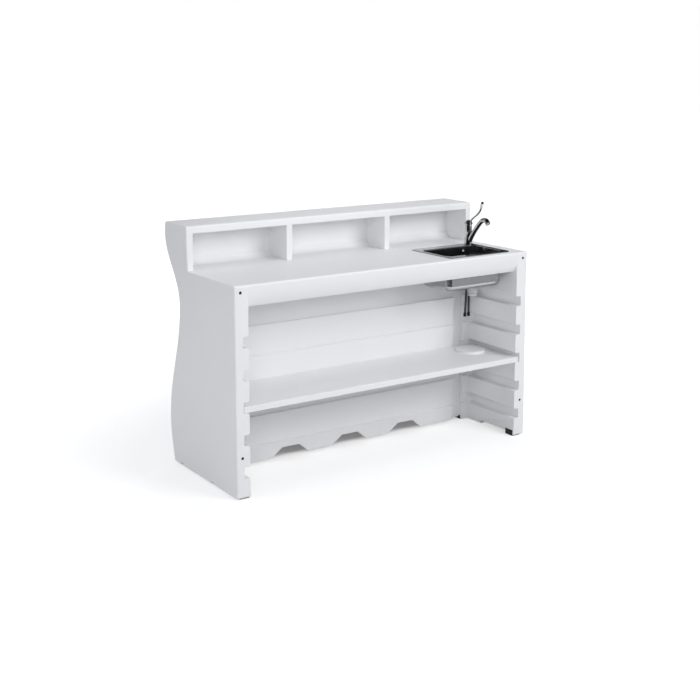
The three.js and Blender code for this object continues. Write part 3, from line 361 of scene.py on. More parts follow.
def new_group(name):
    """Makes the node group of an effect, with its named sockets."""
    maker, inputs, output = SHARED_EFFECTS[name]
    group = bpy.data.node_groups.new(name, "ShaderNodeTree")
    for socket_name, default in inputs.items():
        kind = "NodeSocketFloat" if isinstance(default, float) else "NodeSocketColor"
        socket = group.interface.new_socket(name=socket_name, in_out="INPUT", socket_type=kind)
        socket.default_value = default
    kind = "NodeSocketColor" if output == "Colour" else "NodeSocketFloat"
    group.interface.new_socket(name=output, in_out="OUTPUT", socket_type=kind)
    entry = group.nodes.new("NodeGroupInput").outputs
    leave = group.nodes.new("NodeGroupOutput").inputs[output]
    group.links.new(maker(group, entry), leave)
    return group


def effect(tree, name, **values):
    """Places a shared effect in a material with its own values; returns its output."""
    node = tree.nodes.new("ShaderNodeGroup")
    node.node_tree = bpy.data.node_groups.get(name) or new_group(name)
    return set_inputs(tree, node, values).outputs[0]


# Finishes

LINES_SHARE = 0.6
STRAND_TURN = math.radians(45)


class Finish(NamedTuple):
    """What the material of a slot is made from.

    colour: three numbers, or the path of a colour property
    drift: scale and spread of the colour's wandering
    gloss: mean roughness or the path of its property, spread, and scale of the patches
    bump: strength and depth of the relief
    grain: scale of the pebbles and share of the finer grain
    lines: scale and contrast of the brushing
    stain: reach over the floor, amount and colour of scuffs or dust
    braid: scale of the strands, and the colour's share between them and on them, a painted shade between
    the strands and a painted highlight on them
    """

    name: str
    constants: dict
    colour: object
    drift: tuple
    gloss: tuple
    bump: tuple
    grain: tuple = ()
    lines: tuple = ()
    stain: tuple = ()
    braid: tuple = ()


FINISHES = {
    # White rotomoulded polyethylene with a pebbled skin and faint scuffs near the floor
    "moulded": Finish(
        "moulded_polyethylene", {"IOR": 1.5, "Specular IOR Level": 0.42}, "counter_mouldings.colour",
        (2.6, 0.035), ("counter_mouldings.roughness", 0.16, 9.0), (0.12, 0.0004), grain=(260.0, 0.35),
        stain=(0.11, 0.16, (0.42, 0.41, 0.39))),
    # White board with fine drag marks along its length
    "shelf_board": Finish(
        "shelf_board", {"IOR": 1.5, "Specular IOR Level": 0.45}, "counter_mouldings.shelf_colour",
        (4.0, 0.03), (0.40, 0.18, 14.0), (0.10, 0.0003), grain=(420.0, 0.4), lines=(0.35, 0.5)),
    # Black rubber, greyed a little by dust where it meets the floor
    "foot_rubber": Finish(
        "foot_rubber", {"Specular IOR Level": 0.35}, "counter_small_parts.foot_colour",
        (60.0, 0.5), (0.72, 0.2, 90.0), (0.3, 0.0002), grain=(1400.0, 0.5),
        stain=(0.03, 0.35, (0.10, 0.097, 0.09))),
    # Blackened steel of the bolts and hose nuts
    "black_steel": Finish(
        "black_steel", {"Metallic": 0.7}, "counter_small_parts.bolt_colour",
        (180.0, 0.7), (0.42, 0.25, 220.0), (0.15, 0.0001), grain=(2600.0, 0.4)),
    # Polished stainless sheet with faint brushing
    "sink_steel": Finish(
        "sink_steel", {"Metallic": 1.0}, "counter_sink.steel_colour",
        (10.0, 0.10), (0.17, 0.12, 26.0), (0.05, 0.0001), lines=(1.0, 1.0)),
    # Bright chrome with faint water marks
    "chrome": Finish(
        "tap_chrome", {"Metallic": 1.0}, "counter_tap.chrome_colour",
        (40.0, 0.06), (0.07, 0.06, 70.0), (0.02, 0.0001), grain=(160.0, 0.1)),
    # Pale grey plastic of the waste fittings
    "waste_plastic": Finish(
        "pipe_plastic", {"Specular IOR Level": 0.5}, "counter_sink.pipe_colour",
        (30.0, 0.10), (0.38, 0.15, 50.0), (0.1, 0.0002), grain=(900.0, 0.3)),
    # Dark grey sealing rubber
    "seal": Finish(
        "seal_rubber", {"Specular IOR Level": 0.3}, (0.035, 0.036, 0.038),
        (80.0, 0.4), (0.8, 0.15, 120.0), (0.2, 0.0001), grain=(1800.0, 0.5)),
    # Braided hose, with painted shade between its strands and painted highlight on them
    "hose": Finish(
        "hose_braid", {"Metallic": 0.35}, "counter_hoses.braid_colour",
        (160.0, 0.3), (0.42, 0.2, 300.0), (0.5, 0.0006), braid=(3.4, 0.25, 1.6)),
    # Brass of the tap's stud and nut, with turning lines
    "brass": Finish(
        "turned_brass", {"Metallic": 1.0}, (0.44, 0.29, 0.075),
        (120.0, 0.3), (0.36, 0.2, 150.0), (0.15, 0.0001), lines=(1.6, 0.8)),
    # Pale ceramic inside the tap
    "cartridge": Finish(
        "cartridge_ceramic", {"Specular IOR Level": 0.5}, (0.66, 0.61, 0.51),
        (90.0, 0.12), (0.5, 0.2, 200.0), (0.1, 0.0001), grain=(2200.0, 0.4)),
}
made_finishes = {}


def solid_colour(rgb):
    """A colour as the four numbers of a colour socket."""
    return (*rgb, 1.0)


def chosen(value):
    """A value of the table, or the property that it names."""
    return bpy.context.scene.path_resolve(value) if isinstance(value, str) else value


def relief(tree, grain, lines):
    """The height of a finish's grain, of its lines, or of both."""
    heights = []
    if lines:
        heights.append(effect(tree, "brushed_lines", Scale=lines[0], Contrast=lines[1]))
    if grain:
        heights.append(effect(tree, "moulded_grain", Scale=grain[0], Fine=grain[1]))
    if len(heights) == 1:
        return heights[0]
    return add_math(tree, "MULTIPLY_ADD", heights[0], LINES_SHARE, heights[1])


def woven(tree, colour, scale, painted_shade_share, painted_highlight_share):
    """Colour and height of two sets of strands that cross round a hose, on its own UV map; the colour is
    painted shade between the strands and painted highlight on them.
    """
    place = add_node(tree, "ShaderNodeUVMap", uv_map="length").outputs["UV"]
    strands = []
    for turn in (STRAND_TURN, -STRAND_TURN):
        inputs = {"Vector": place, "Rotation": (0, 0, turn)}
        turned = add_node(tree, "ShaderNodeMapping", inputs, vector_type="TEXTURE").outputs["Vector"]
        waves = add_node(tree, "ShaderNodeTexWave", {"Vector": turned, "Scale": scale, "Distortion": 0.0})
        strands.append(waves.outputs["Fac"])
    over = add_math(tree, "MAXIMUM", *strands)
    # Darker between the strands and lighter on them: painted shade and painted highlight
    return add_mix(tree, over, solid_colour(colour * painted_shade_share), solid_colour(colour * painted_highlight_share)), over


def make_material(row):
    """The node-based material of a row of the table."""
    material = bpy.data.materials.new(row.name)
    material.use_nodes = True
    tree = material.node_tree
    colour = Vector(chosen(row.colour))
    if row.braid:
        tone, height = woven(tree, colour, *row.braid)
    else:
        tone, height = solid_colour(colour), relief(tree, row.grain, row.lines)
    scale, spread = row.drift
    tone = effect(tree, "tone_drift", Colour=tone, Scale=scale, Spread=spread)
    if row.stain:
        reach, amount, stain = row.stain
        marks = effect(tree, "low_scuffs", Reach=reach, Amount=amount)
        tone = add_mix(tree, marks, tone, solid_colour(stain))
    mean, spread, scale = row.gloss
    gloss = effect(tree, "gloss_patches", Mean=chosen(mean), Spread=spread, Scale=scale)
    strength, depth = row.bump
    bent = add_node(tree, "ShaderNodeBump", {"Height": height, "Strength": strength, "Distance": depth})
    inputs = {"Base Color": tone, "Roughness": gloss, "Normal": bent.outputs["Normal"]}
    set_inputs(tree, tree.nodes["Principled BSDF"], {**row.constants, **inputs})
    return material


def finish(slot):
    """The material of a slot, made when it is first asked for."""
    if slot not in made_finishes:
        made_finishes[slot] = make_material(FINISHES[slot])
    return made_finishes[slot]


# Mesh helpers


def add_piece(name, bm, slot, *nodes, body="counter", even=False):
    """Turns a bmesh into a piece with a finish, riding on a body and standing for CAD nodes.

    An even piece keeps its large flat faces flat beside its rounded edges.
    """
    mesh = bpy.data.meshes.new(name)
    bm.to_mesh(mesh)
    bm.free()
    mesh.materials.append(finish(slot))
    mesh.shade_smooth()
    mesh.set_sharp_from_angle(angle=SHARP_TURN)
    piece = bpy.data.objects.new(name, mesh)
    bpy.context.scene.collection.objects.link(piece)
    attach(piece, body)
    if nodes:
        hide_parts(*nodes)
    if even:
        piece.modifiers.new("flat_faces", "WEIGHTED_NORMAL").keep_sharp = True
    return piece


def dress_node(node, slot):
    """Gives a CAD node that stays in view the finish of a slot."""
    node_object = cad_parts[node]
    node_object.data.materials.clear()
    node_object.data.materials.append(finish(slot))


def node_copy(node):
    """A merged copy of a CAD node's mesh, with flat stretches joined into single faces."""
    bm = bmesh.new()
    bm.from_mesh(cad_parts[node].data)
    bmesh.ops.remove_doubles(bm, verts=bm.verts, dist=MERGE)
    bmesh.ops.dissolve_limit(bm, angle_limit=FLAT_TURN, verts=bm.verts, edges=bm.edges)
    return bm


def bevel(bm, geom, width, segments=2, affect="EDGES", clamp=True):
    """Rounds edges or corners; returns what was made."""
    return bmesh.ops.bevel(bm, geom=geom, offset=width, offset_type="OFFSET", affect=affect,
                           segments=segments, profile=0.5, material=-1, clamp_overlap=clamp)


def outward_edges(bm, turn=BEVEL_TURN):
    """Edges that stand proud and turn by more than an angle."""
    return [edge for edge in bm.edges if edge.is_manifold and edge.calc_face_angle_signed() > turn]


def tidy_faces(bm):
    """Merges doubles and turns the faces outwards."""
    bmesh.ops.remove_doubles(bm, verts=bm.verts, dist=MERGE)
    bmesh.ops.recalc_face_normals(bm, faces=bm.faces)
    return bm


def spun(profile, steps=64, soften=0.0):
    """Turns a (radius, height) profile about the vertical axis, with its inner corners rounded first."""
    bm = bmesh.new()
    verts = [bm.verts.new((radius, 0, height)) for radius, height in profile]
    for pair in zip(verts, verts[1:]):
        bm.edges.new(pair)
    if soften:
        bevel(bm, verts[1:-1], soften, 3, "VERTICES")
    bmesh.ops.spin(bm, geom=bm.verts[:] + bm.edges[:], cent=(0, 0, 0), axis=(0, 0, 1), angle=math.tau,
                   steps=steps, use_merge=True)
    return tidy_faces(bm)


def sleeve(inner, outer, low, high, steps=64, soften=0.0):
    """An upright ring."""
    profile = ((inner, low), (outer, low), (outer, high), (inner, high), (inner, low))
    return spun(profile, steps, soften)


def rod(radius, low, high, steps=64, soften=0.0):
    """An upright solid cylinder."""
    return spun(((0, low), (radius, low), (radius, high), (0, high)), steps, soften)


def plug(radius, depth, sides):
    """A straight cutter, centred, with flat sides."""
    bm = bmesh.new()
    bmesh.ops.create_cone(bm, cap_ends=True, segments=sides, radius1=radius, radius2=radius, depth=depth)
    return bm


def arc(radius, start, end, steps, centre):
    """Points of an arc between two angles in degrees, round a centre given as reach and height."""
    points = []
    for step in range(steps + 1):
        angle = math.radians(start + (end - start) * step / steps)
        points.append((centre[0] + radius * math.cos(angle), centre[1] + radius * math.sin(angle)))
    return points


def half_width(low, high):
    """Half the width of a box along X."""
    return (high.x - low.x) / 2


def moved(bm, place):
    """Moves a bmesh."""
    bmesh.ops.translate(bm, verts=bm.verts, vec=place)
    return bm


def pointed(bm, heading, place):
    """Turns a bmesh made along +Z to a heading and moves it."""
    turn = Vector((0, 0, 1)).rotation_difference(Vector(heading)).to_matrix()
    bmesh.ops.rotate(bm, verts=bm.verts, cent=(0, 0, 0), matrix=turn)
    return moved(bm, place)


def rounded_plate(bm, low, high, height, corner, steps=10):
    """A flat face with rounded corners, from its low and high corners in plan."""
    verts = bmesh.ops.create_grid(bm, x_segments=1, y_segments=1, size=0.5)["verts"]
    bmesh.ops.scale(bm, verts=verts, vec=(high[0] - low[0], high[1] - low[1], 1))
    bmesh.ops.translate(
        bm, verts=verts, vec=((low[0] + high[0]) / 2, (low[1] + high[1]) / 2, height))
    rounded = bevel(bm, verts, corner, steps, "VERTICES", False)
    return rounded["verts"][0].link_faces[0]


def rounded_block(low, high, corner, edge, steps=6):
    """A block with rounded upright corners and rounded top and bottom edges."""
    bm = bmesh.new()
    face = rounded_plate(bm, low, high, low.z, corner, steps)
    raised = bmesh.ops.extrude_face_region(bm, geom=[face])
    top = [item for item in raised["geom"] if isinstance(item, bmesh.types.BMVert)]
    bmesh.ops.translate(bm, verts=top, vec=(0, 0, high.z - low.z))
    bmesh.ops.recalc_face_normals(bm, faces=bm.faces)
    level = [item for item in bm.edges if abs(item.verts[0].co.z - item.verts[1].co.z) < MERGE]
    bevel(bm, level, edge, 4)
    return bm


def ribbed_ring(inner, outer, low, high, ribs, rib):
    """A ring with upright grip ribs round its outside."""
    bm = sleeve(inner, outer, low, high, ribs * 2)
    middle = (low + high) / 2
    sides = []
    for face in bm.faces:
        centre = face.calc_center_median()
        reach = math.hypot(centre.x, centre.y)
        if abs(centre.z - middle) < MERGE and reach > (inner + outer) / 2:
            sides.append((math.atan2(centre.y, centre.x), face))
    ordered = [face for angle, face in sorted(sides, key=lambda side: side[0])]
    bmesh.ops.inset_individual(bm, faces=ordered[::2], thickness=rib * RIB_TAPER, depth=rib)
    return bm


def swept(points, radii, sides=24):
    """A capped round tube along a smooth line through points, with a radius at each."""
    line = bpy.data.curves.new("line", "CURVE")
    line.dimensions = "3D"
    line.bevel_depth = 1.0
    line.bevel_resolution = sides // 4 - 1
    line.resolution_u = 10
    line.use_fill_caps = True
    spline = line.splines.new("BEZIER")
    spline.bezier_points.add(len(points) - 1)
    for knot, point, radius in zip(spline.bezier_points, points, radii):
        knot.co = point
        knot.radius = radius
        knot.handle_left_type = "AUTO"
        knot.handle_right_type = "AUTO"
    carrier = bpy.data.objects.new("line", line)
    bpy.context.scene.collection.objects.link(carrier)
    bpy.context.view_layer.update()
    mesh = bpy.data.meshes.new_from_object(carrier.evaluated_get(bpy.context.evaluated_depsgraph_get()))
    bm = bmesh.new()
    bm.from_mesh(mesh)
    bpy.data.objects.remove(carrier)
    bpy.data.curves.remove(line)
    bpy.data.meshes.remove(mesh)
    return tidy_faces(bm)


def combined(operation, base, *others):
    """Joins, or cuts with, other closed bmeshes; returns the closed result."""
    holders = []
    for bm in (base, *others):
        mesh = bpy.data.meshes.new("closed_form")
        bm.to_mesh(mesh)
        bm.free()
        holder = bpy.data.objects.new("closed_form", mesh)
        bpy.context.scene.collection.objects.link(holder)
        holders.append(holder)
    for tool in holders[1:]:
        modifier = holders[0].modifiers.new("shape", "BOOLEAN")
        modifier.operation = operation
        modifier.solver = "EXACT"
        modifier.object = tool
    bpy.context.view_layer.update()
    graph = bpy.context.evaluated_depsgraph_get()
    result = bpy.data.meshes.new_from_object(holders[0].evaluated_get(graph))
    bm = bmesh.new()
    bm.from_mesh(result)
    bpy.data.meshes.remove(result)
    for holder in holders:
        mesh = holder.data
        bpy.data.objects.remove(holder)
        bpy.data.meshes.remove(mesh)
    bmesh.ops.remove_doubles(bm, verts=bm.verts, dist=MERGE)
    return bm


def tap_point(reach, height):
    """A point in the tap's own plane: reach towards the bartender, height over the deck."""
    return TAP_PLACE + Vector((0, -reach, height))


def route_heading(route):
    """The direction of a tap route's last stretch."""
    return (tap_point(*route[-1]) - tap_point(*route[-2])).normalized()


# Operators


class PieceMaker:
    """What every operator here shares."""

    bl_options = {"REGISTER", "UNDO"}


class COUNTER_OT_stage(PieceMaker, bpy.types.Operator):
    """Set the camera, the floor, the surround and the lamps"""

    bl_idname = "counter.stage"
    bl_label = "Stage"

    sensor_width = 36.0
    view_end = 100.0
    lamp_sizes = {
        "key": (2.6, 2.8), "fill": (2.4, 2.4), "left": (2.4, 1.8), "top": (3.0, 2.0), "back": (2.8, 2.2),
    }

    # The floor's half width, and the distances from the middle over which it grows white
    floor_half = 30.0
    lift_near, lift_far = 1.0, 2.8

    # Painted shade on the floor in the hollow front, where the counter's shade falls: reach before the
    # panel, soft edge, share of white
    painted_shade_reach = 0.09
    painted_shade_edge = 0.04
    painted_shade_lift = 0.33

    # The tent that only mirrors see: painted reflections, dark round the bartender's side with glowing pale
    # patches
    tent_radius = 3.3
    tent_low = 0.02
    tent_high = 3.0
    tent_middle = Vector((0, 0.6, 0))
    tent_steps = 80
    patch_heading = Vector((0.47, -0.88, 0))
    patch_span = (0.90, 0.985)
    patch_glow = (0.004, 0.60)
    roof_span = (-0.3, 0.5)
    roof_glow = (0.0, 0.32)

    def execute(self, context):
        settings = context.scene.counter_stage
        self.place_camera(context, settings)
        self.lay_floor(context, settings)
        self.paint_surround(context, settings)
        self.hang_dark_tent(context)
        for name, size in self.lamp_sizes.items():
            self.place_lamp(context, settings, name, size)
        context.scene.view_settings.view_transform = "Standard"
        return {"FINISHED"}

    def place_camera(self, context, settings):
        lens = bpy.data.cameras.new("camera")
        lens.sensor_width = self.sensor_width
        lens.lens = settings.camera_lens
        lens.shift_y = settings.camera_shift
        lens.clip_end = self.view_end
        camera = bpy.data.objects.new("camera", lens)
        camera.location = settings.camera_place
        camera.rotation_euler = (math.pi / 2 - settings.camera_pitch, 0, -settings.camera_yaw)
        context.scene.collection.objects.link(camera)
        context.scene.camera = camera

    def stage_item(self, context, name, bm):
        """A mesh of the stage with an empty material; returns its object and the material's tree."""
        mesh = bpy.data.meshes.new(name)
        bm.to_mesh(mesh)
        bm.free()
        material = bpy.data.materials.new(f"{name}_paint")
        material.use_nodes = True
        material.node_tree.nodes.clear()
        mesh.materials.append(material)
        item = bpy.data.objects.new(name, mesh)
        context.scene.collection.objects.link(item)
        return item, material.node_tree

    def seen_directly(self, tree):
        """One for rays from the camera, and for rays mirrored or passed on, and else nothing."""
        rays = add_node(tree, "ShaderNodeLightPath").outputs
        shown = add_math(tree, "MAXIMUM", rays["Is Camera Ray"], rays["Is Glossy Ray"])
        return add_math(tree, "MAXIMUM", shown, rays["Is Transmission Ray"])

    def outside_painted_shade(self, tree):
        """A small share of the floor's white inside the counter's hollow front, which paints shade there,
        and one elsewhere.
        """
        low = Vector((panel_low.x, panel_high.y - self.painted_shade_reach, 0))
        high = Vector((panel_high.x, cad_high.y, 0))
        offset = add_vector(tree, "SUBTRACT", {0: object_place(tree), 1: (low + high) / 2})
        reach = split_axes(tree, add_vector(tree, "ABSOLUTE", {0: offset}))
        half = (high - low) / 2
        beyond = []
        for side, limit in zip(reach, half.xy):
            beyond.append(add_range(tree, side, limit - self.painted_shade_edge, limit))
        outside = add_math(tree, "MAXIMUM", *beyond)
        return add_math(tree, "MULTIPLY_ADD", outside, 1 - self.painted_shade_lift, self.painted_shade_lift)

    def lay_floor(self, context, settings):
        bm = bmesh.new()
        bmesh.ops.create_grid(bm, x_segments=1, y_segments=1, size=self.floor_half)
        tree = self.stage_item(context, "floor", bm)[1]
        shaded = add_node(tree, "ShaderNodeBsdfDiffuse", {"Color": solid_colour(settings.floor_colour)})
        away = add_vector(tree, "LENGTH", {0: object_place(tree)})
        lift = add_range(tree, away, self.lift_near, self.lift_far, settings.floor_lift, 1.0)
        # Less white on the floor inside the hollow front: painted shade under the counter
        lift_with_painted_shade = add_math(tree, "MULTIPLY", lift, self.outside_painted_shade(tree))
        strength = add_math(tree, "MULTIPLY", lift_with_painted_shade, self.seen_directly(tree))
        white = add_node(tree, "ShaderNodeEmission", {"Strength": strength})
        both = add_node(tree, "ShaderNodeAddShader", {0: shaded.outputs[0], 1: white.outputs[0]})
        add_node(tree, "ShaderNodeOutputMaterial", {"Surface": both.outputs[0]})

    def paint_surround(self, context, settings):
        world = bpy.data.worlds.new("surround")
        world.use_nodes = True
        context.scene.world = world
        tree = world.node_tree
        tree.nodes.clear()
        soft = add_node(tree, "ShaderNodeBackground", {"Color": solid_colour(settings.ambient)})
        white = add_node(tree, "ShaderNodeBackground", {"Color": (1, 1, 1, 1)})
        inputs = {0: self.seen_directly(tree), 1: soft.outputs[0], 2: white.outputs[0]}
        mixed = add_node(tree, "ShaderNodeMixShader", inputs)
        add_node(tree, "ShaderNodeOutputWorld", {"Surface": mixed.outputs[0]})

    def hang_dark_tent(self, context):
        """A round dark tent that only mirrors see, glowing pale on the bartender's right and over the
        customers: painted reflections in the steel and chrome.
        """
        bm = bmesh.new()
        out, top = -self.tent_radius, self.tent_high
        corners = ((out, self.tent_low), (out, top), (0, top))
        verts = [bm.verts.new((reach, self.tent_middle.y, height)) for reach, height in corners]
        edges = [bm.edges.new(pair) for pair in zip(verts, verts[1:])]
        bmesh.ops.spin(bm, geom=verts + edges, cent=self.tent_middle, axis=(0, 0, 1), angle=math.tau,
                       steps=self.tent_steps, use_merge=True)
        tent, tree = self.stage_item(context, "dark_card", bm)
        offset = add_vector(tree, "SUBTRACT", {0: object_place(tree), 1: self.tent_middle})
        toward = add_vector(tree, "DOT_PRODUCT", {0: offset, 1: self.patch_heading / self.tent_radius})
        patch = add_range(tree, toward, *self.patch_span, *self.patch_glow, "SMOOTHSTEP")
        sides = split_axes(tree, offset)
        behind = add_range(tree, sides["Y"], *self.roof_span, *self.roof_glow, "SMOOTHSTEP")
        overhead = add_math(tree, "GREATER_THAN", sides["Z"], self.tent_high - SEAT)
        # The glow is a painted reflection, seen only in mirrors
        glow = add_math(tree, "MULTIPLY_ADD", behind, overhead, patch)
        paint = add_node(tree, "ShaderNodeEmission", {"Strength": glow})
        add_node(tree, "ShaderNodeOutputMaterial", {"Surface": paint.outputs[0]})
        tent.visible_camera = False
        tent.visible_diffuse = False
        tent.visible_shadow = False
        tent.visible_transmission = False

    def place_lamp(self, context, settings, name, size):
        light = bpy.data.lights.new(name, "AREA")
        light.shape = "RECTANGLE"
        light.size, light.size_y = size
        light.energy = getattr(settings, f"{name}_power")
        lamp = bpy.data.objects.new(name, light)
        lamp.location = getattr(settings, f"{name}_place")
        aim = (cad_low + cad_high) / 2 - lamp.location
        lamp.rotation_euler = aim.to_track_quat("-Z", "Y").to_euler()
        context.scene.collection.objects.link(lamp)


class COUNTER_OT_hoses(PieceMaker, bpy.types.Operator):
    """Hang the two braided supply hoses with their union nuts"""

    bl_idname = "counter.hoses"
    bl_label = "Supply hoses"

    nut_length = 0.0197
    nut_radius = 0.0078
    nut_chamfer = 0.002
    nut_bore = 0.0046
    nut_socket = 0.008
    nut_edge = 0.0005
    nut_turn = math.radians(35)

    def execute(self, context):
        settings = context.scene.counter_hoses
        for side, (offset, drift) in HOSES.items():
            route = self.route(settings, offset, drift)
            hose = add_piece(f"{side}_supply_hose", self.tube(settings, route), "hose", f"{side}_hose")
            nut = self.union_nut(side, route)
        return {"FINISHED"}

    def route(self, settings, offset, drift):
        points = []
        for step in range(HOSE_POINTS):
            part = step / (HOSE_POINTS - 1)
            sideways = offset + drift * part ** HOSE_BEND
            drop = HOSE_START - settings.length * part
            points.append(TAP_PLACE + Vector((sideways, HOSE_DEPTH_OFFSET, drop)))
        return points

    def tube(self, settings, route, sides=20):
        """A tube whose UV map runs round it and along its length, both in tube widths."""
        bm = bmesh.new()
        grid = bmesh.ops.create_grid(bm, x_segments=sides, y_segments=len(route) - 1, size=0.5)["verts"]
        uv = bm.loops.layers.uv.new("length")
        rows = {vert: (vert.co.x + 0.5, vert.co.y + 0.5) for vert in grid}
        for face in bm.faces:
            for corner in face.loops:
                around, along = rows[corner.vert]
                corner[uv].uv = (around * math.pi, along * settings.length / (2 * settings.radius))
        for vert, (around, along) in rows.items():
            centre = route[round(along * (len(route) - 1))]
            angle = around * math.tau
            vert.co = centre + Vector((math.cos(angle), math.sin(angle), 0)) * settings.radius
        tidy_faces(bm)
        bmesh.ops.holes_fill(bm, edges=[edge for edge in bm.edges if edge.is_boundary], sides=0)
        return tidy_faces(bm)

    def union_nut(self, side, route):
        length, radius = self.nut_length, self.nut_radius
        socket = length - self.nut_socket
        profile = ((0, 0), (radius - self.nut_chamfer, 0), (radius, self.nut_chamfer), (radius, length),
                   (self.nut_bore, length), (self.nut_bore, socket), (0, socket))
        bm = spun(profile, 6)
        bevel(bm, outward_edges(bm, self.nut_turn), self.nut_edge)
        heading = route[-1] - route[-2]
        pointed(bm, heading, route[-1] + heading.normalized() * SEAT)
        return add_piece(f"{side}_union_nut", bm, "black_steel", f"{side}_hose_nut")


class COUNTER_OT_mouldings(PieceMaker, bpy.types.Operator):
    """Round the edges of the moulded body's pieces and give them their skin"""

    bl_idname = "counter.mouldings"
    bl_label = "Mouldings"

    pieces = {
        "right_end_panel": "right_end_moulding", "left_end_panel": "left_end_moulding",
        "front_shell": "front_moulding", "inner_panel": "inner_moulding", "worktop": "worktop_moulding",
        "bar_top": "bar_moulding", "left_divider": "left_divider_board",
        "right_divider": "right_divider_board",
    }
    panel_thick = 0.026
    channel_deep = 0.090
    channel_width = 0.0697
    lining_set = 0.024

    def execute(self, context):
        settings = context.scene.counter_mouldings
        for node, name in self.pieces.items():
            bm = node_copy(node)
            edges = [edge for edge in outward_edges(bm) if not self.is_seam(edge)]
            bevel(bm, edges, settings.edge_round)
            add_piece(name, bm, "moulded", node, even=True)
        self.line_channels(settings)
        return {"FINISHED"}

    def line_channels(self, settings):
        """The raised back of the channel between each end of the inner panel and its post."""
        front = panel_high.y - self.channel_deep - self.panel_thick + self.lining_set
        back = panel_high.y - self.panel_thick - SEAT
        for side, turn in (("left", -1), ("right", 1)):
            edges = sorted((turn * panel_high.x, turn * (panel_high.x - self.channel_width + SEAT)))
            low = Vector((edges[0], front, panel_low.z))
            high = Vector((edges[1], back, panel_high.z))
            lining = rounded_block(low, high, settings.edge_round, settings.edge_round / 2)
            add_piece(f"{side}_channel_lining", lining, "moulded", even=True)

    def is_seam(self, edge):
        """Edges where two mouldings meet flush stay crisp, so that the joint shows as a hairline."""
        reaches = [abs(vert.co.x) for vert in edge.verts]
        flush = any(all(abs(reach - plane) < SEAM_REACH for reach in reaches) for plane in SEAM_PLANES)
        middle = (edge.verts[0].co + edge.verts[1].co) / 2
        return flush and (middle.z > worktop_low.z - MERGE or middle.y > panel_high.y)


class COUNTER_OT_shelf(PieceMaker, bpy.types.Operator):
    """Make the loose shelf with its raised pad"""

    bl_idname = "counter.shelf"
    bl_label = "Loose shelf"

    pad_end_gap = 0.1175
    pad_back_gap = 0.126
    pad_root = 0.002

    def execute(self, context):
        settings = context.scene.counter_mouldings
        low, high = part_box("storage_shelf")
        top = high.z - settings.pad_height
        board_high = Vector((high.x, high.y, top))
        board = rounded_block(low, board_high, settings.shelf_corner, settings.shelf_edge)
        pad = moved(self.pad(settings), (high.x - self.pad_end_gap, high.y - self.pad_back_gap, top))
        shelf = combined("UNION", board, pad)
        add_piece("shelf_board", shelf, "shelf_board", "storage_shelf", body="shelf", even=True)
        return {"FINISHED"}

    def pad(self, settings):
        """A round pad with a rounded edge, rooted a little way into the board."""
        radius, height, edge = settings.pad_radius, settings.pad_height, settings.pad_edge
        rim = arc(edge, 0, 90, 6, (radius - edge, height - edge))
        return spun([(0, -self.pad_root), (radius, -self.pad_root), *rim, (0, height)], 96)


class COUNTER_OT_feet(PieceMaker, bpy.types.Operator):
    """Make the four rubber feet"""

    bl_idname = "counter.feet"
    bl_label = "Feet"

    def execute(self, context):
        settings = context.scene.counter_small_parts
        for end in ("near", "rear"):
            for side in ("right", "left"):
                low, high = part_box(f"{end}_{side}_foot")
                bm = rounded_block(low, high, settings.foot_corner, settings.foot_edge)
                add_piece(f"{end}_{side}_rubber", bm, "foot_rubber", f"{end}_{side}_foot", even=True)
        return {"FINISHED"}


class COUNTER_OT_bolts(PieceMaker, bpy.types.Operator):
    """Make the four joining bolts with six-sided sockets"""

    bl_idname = "counter.bolts"
    bl_label = "Joining bolts"

    head_height = 0.0045
    head_chamfer = 0.0012
    socket_depth = 0.0025
    edge_round = 0.0003

    def execute(self, context):
        settings = context.scene.counter_small_parts
        for level in ("upper", "lower"):
            for side in ("right", "left"):
                low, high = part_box(f"{level}_{side}_bolt")
                bm = self.bolt(settings, (high - low).y)
                pointed(bm, (0, 1, 0), Vector(((low.x + high.x) / 2, low.y, (low.z + high.z) / 2)))
                add_piece(f"{level}_{side}_screw", bm, "black_steel", f"{level}_{side}_bolt")
        return {"FINISHED"}

    def bolt(self, settings, length):
        head, shank, chamfer = settings.bolt_head, settings.bolt_shank, self.head_chamfer
        profile = ((0, 0), (head - chamfer, 0), (head, chamfer), (head, self.head_height),
                   (shank, self.head_height), (shank, length), (0, length))
        socket = plug(settings.bolt_socket, 2 * self.socket_depth, 6)
        return combined("DIFFERENCE", spun(profile, 32, self.edge_round), socket)


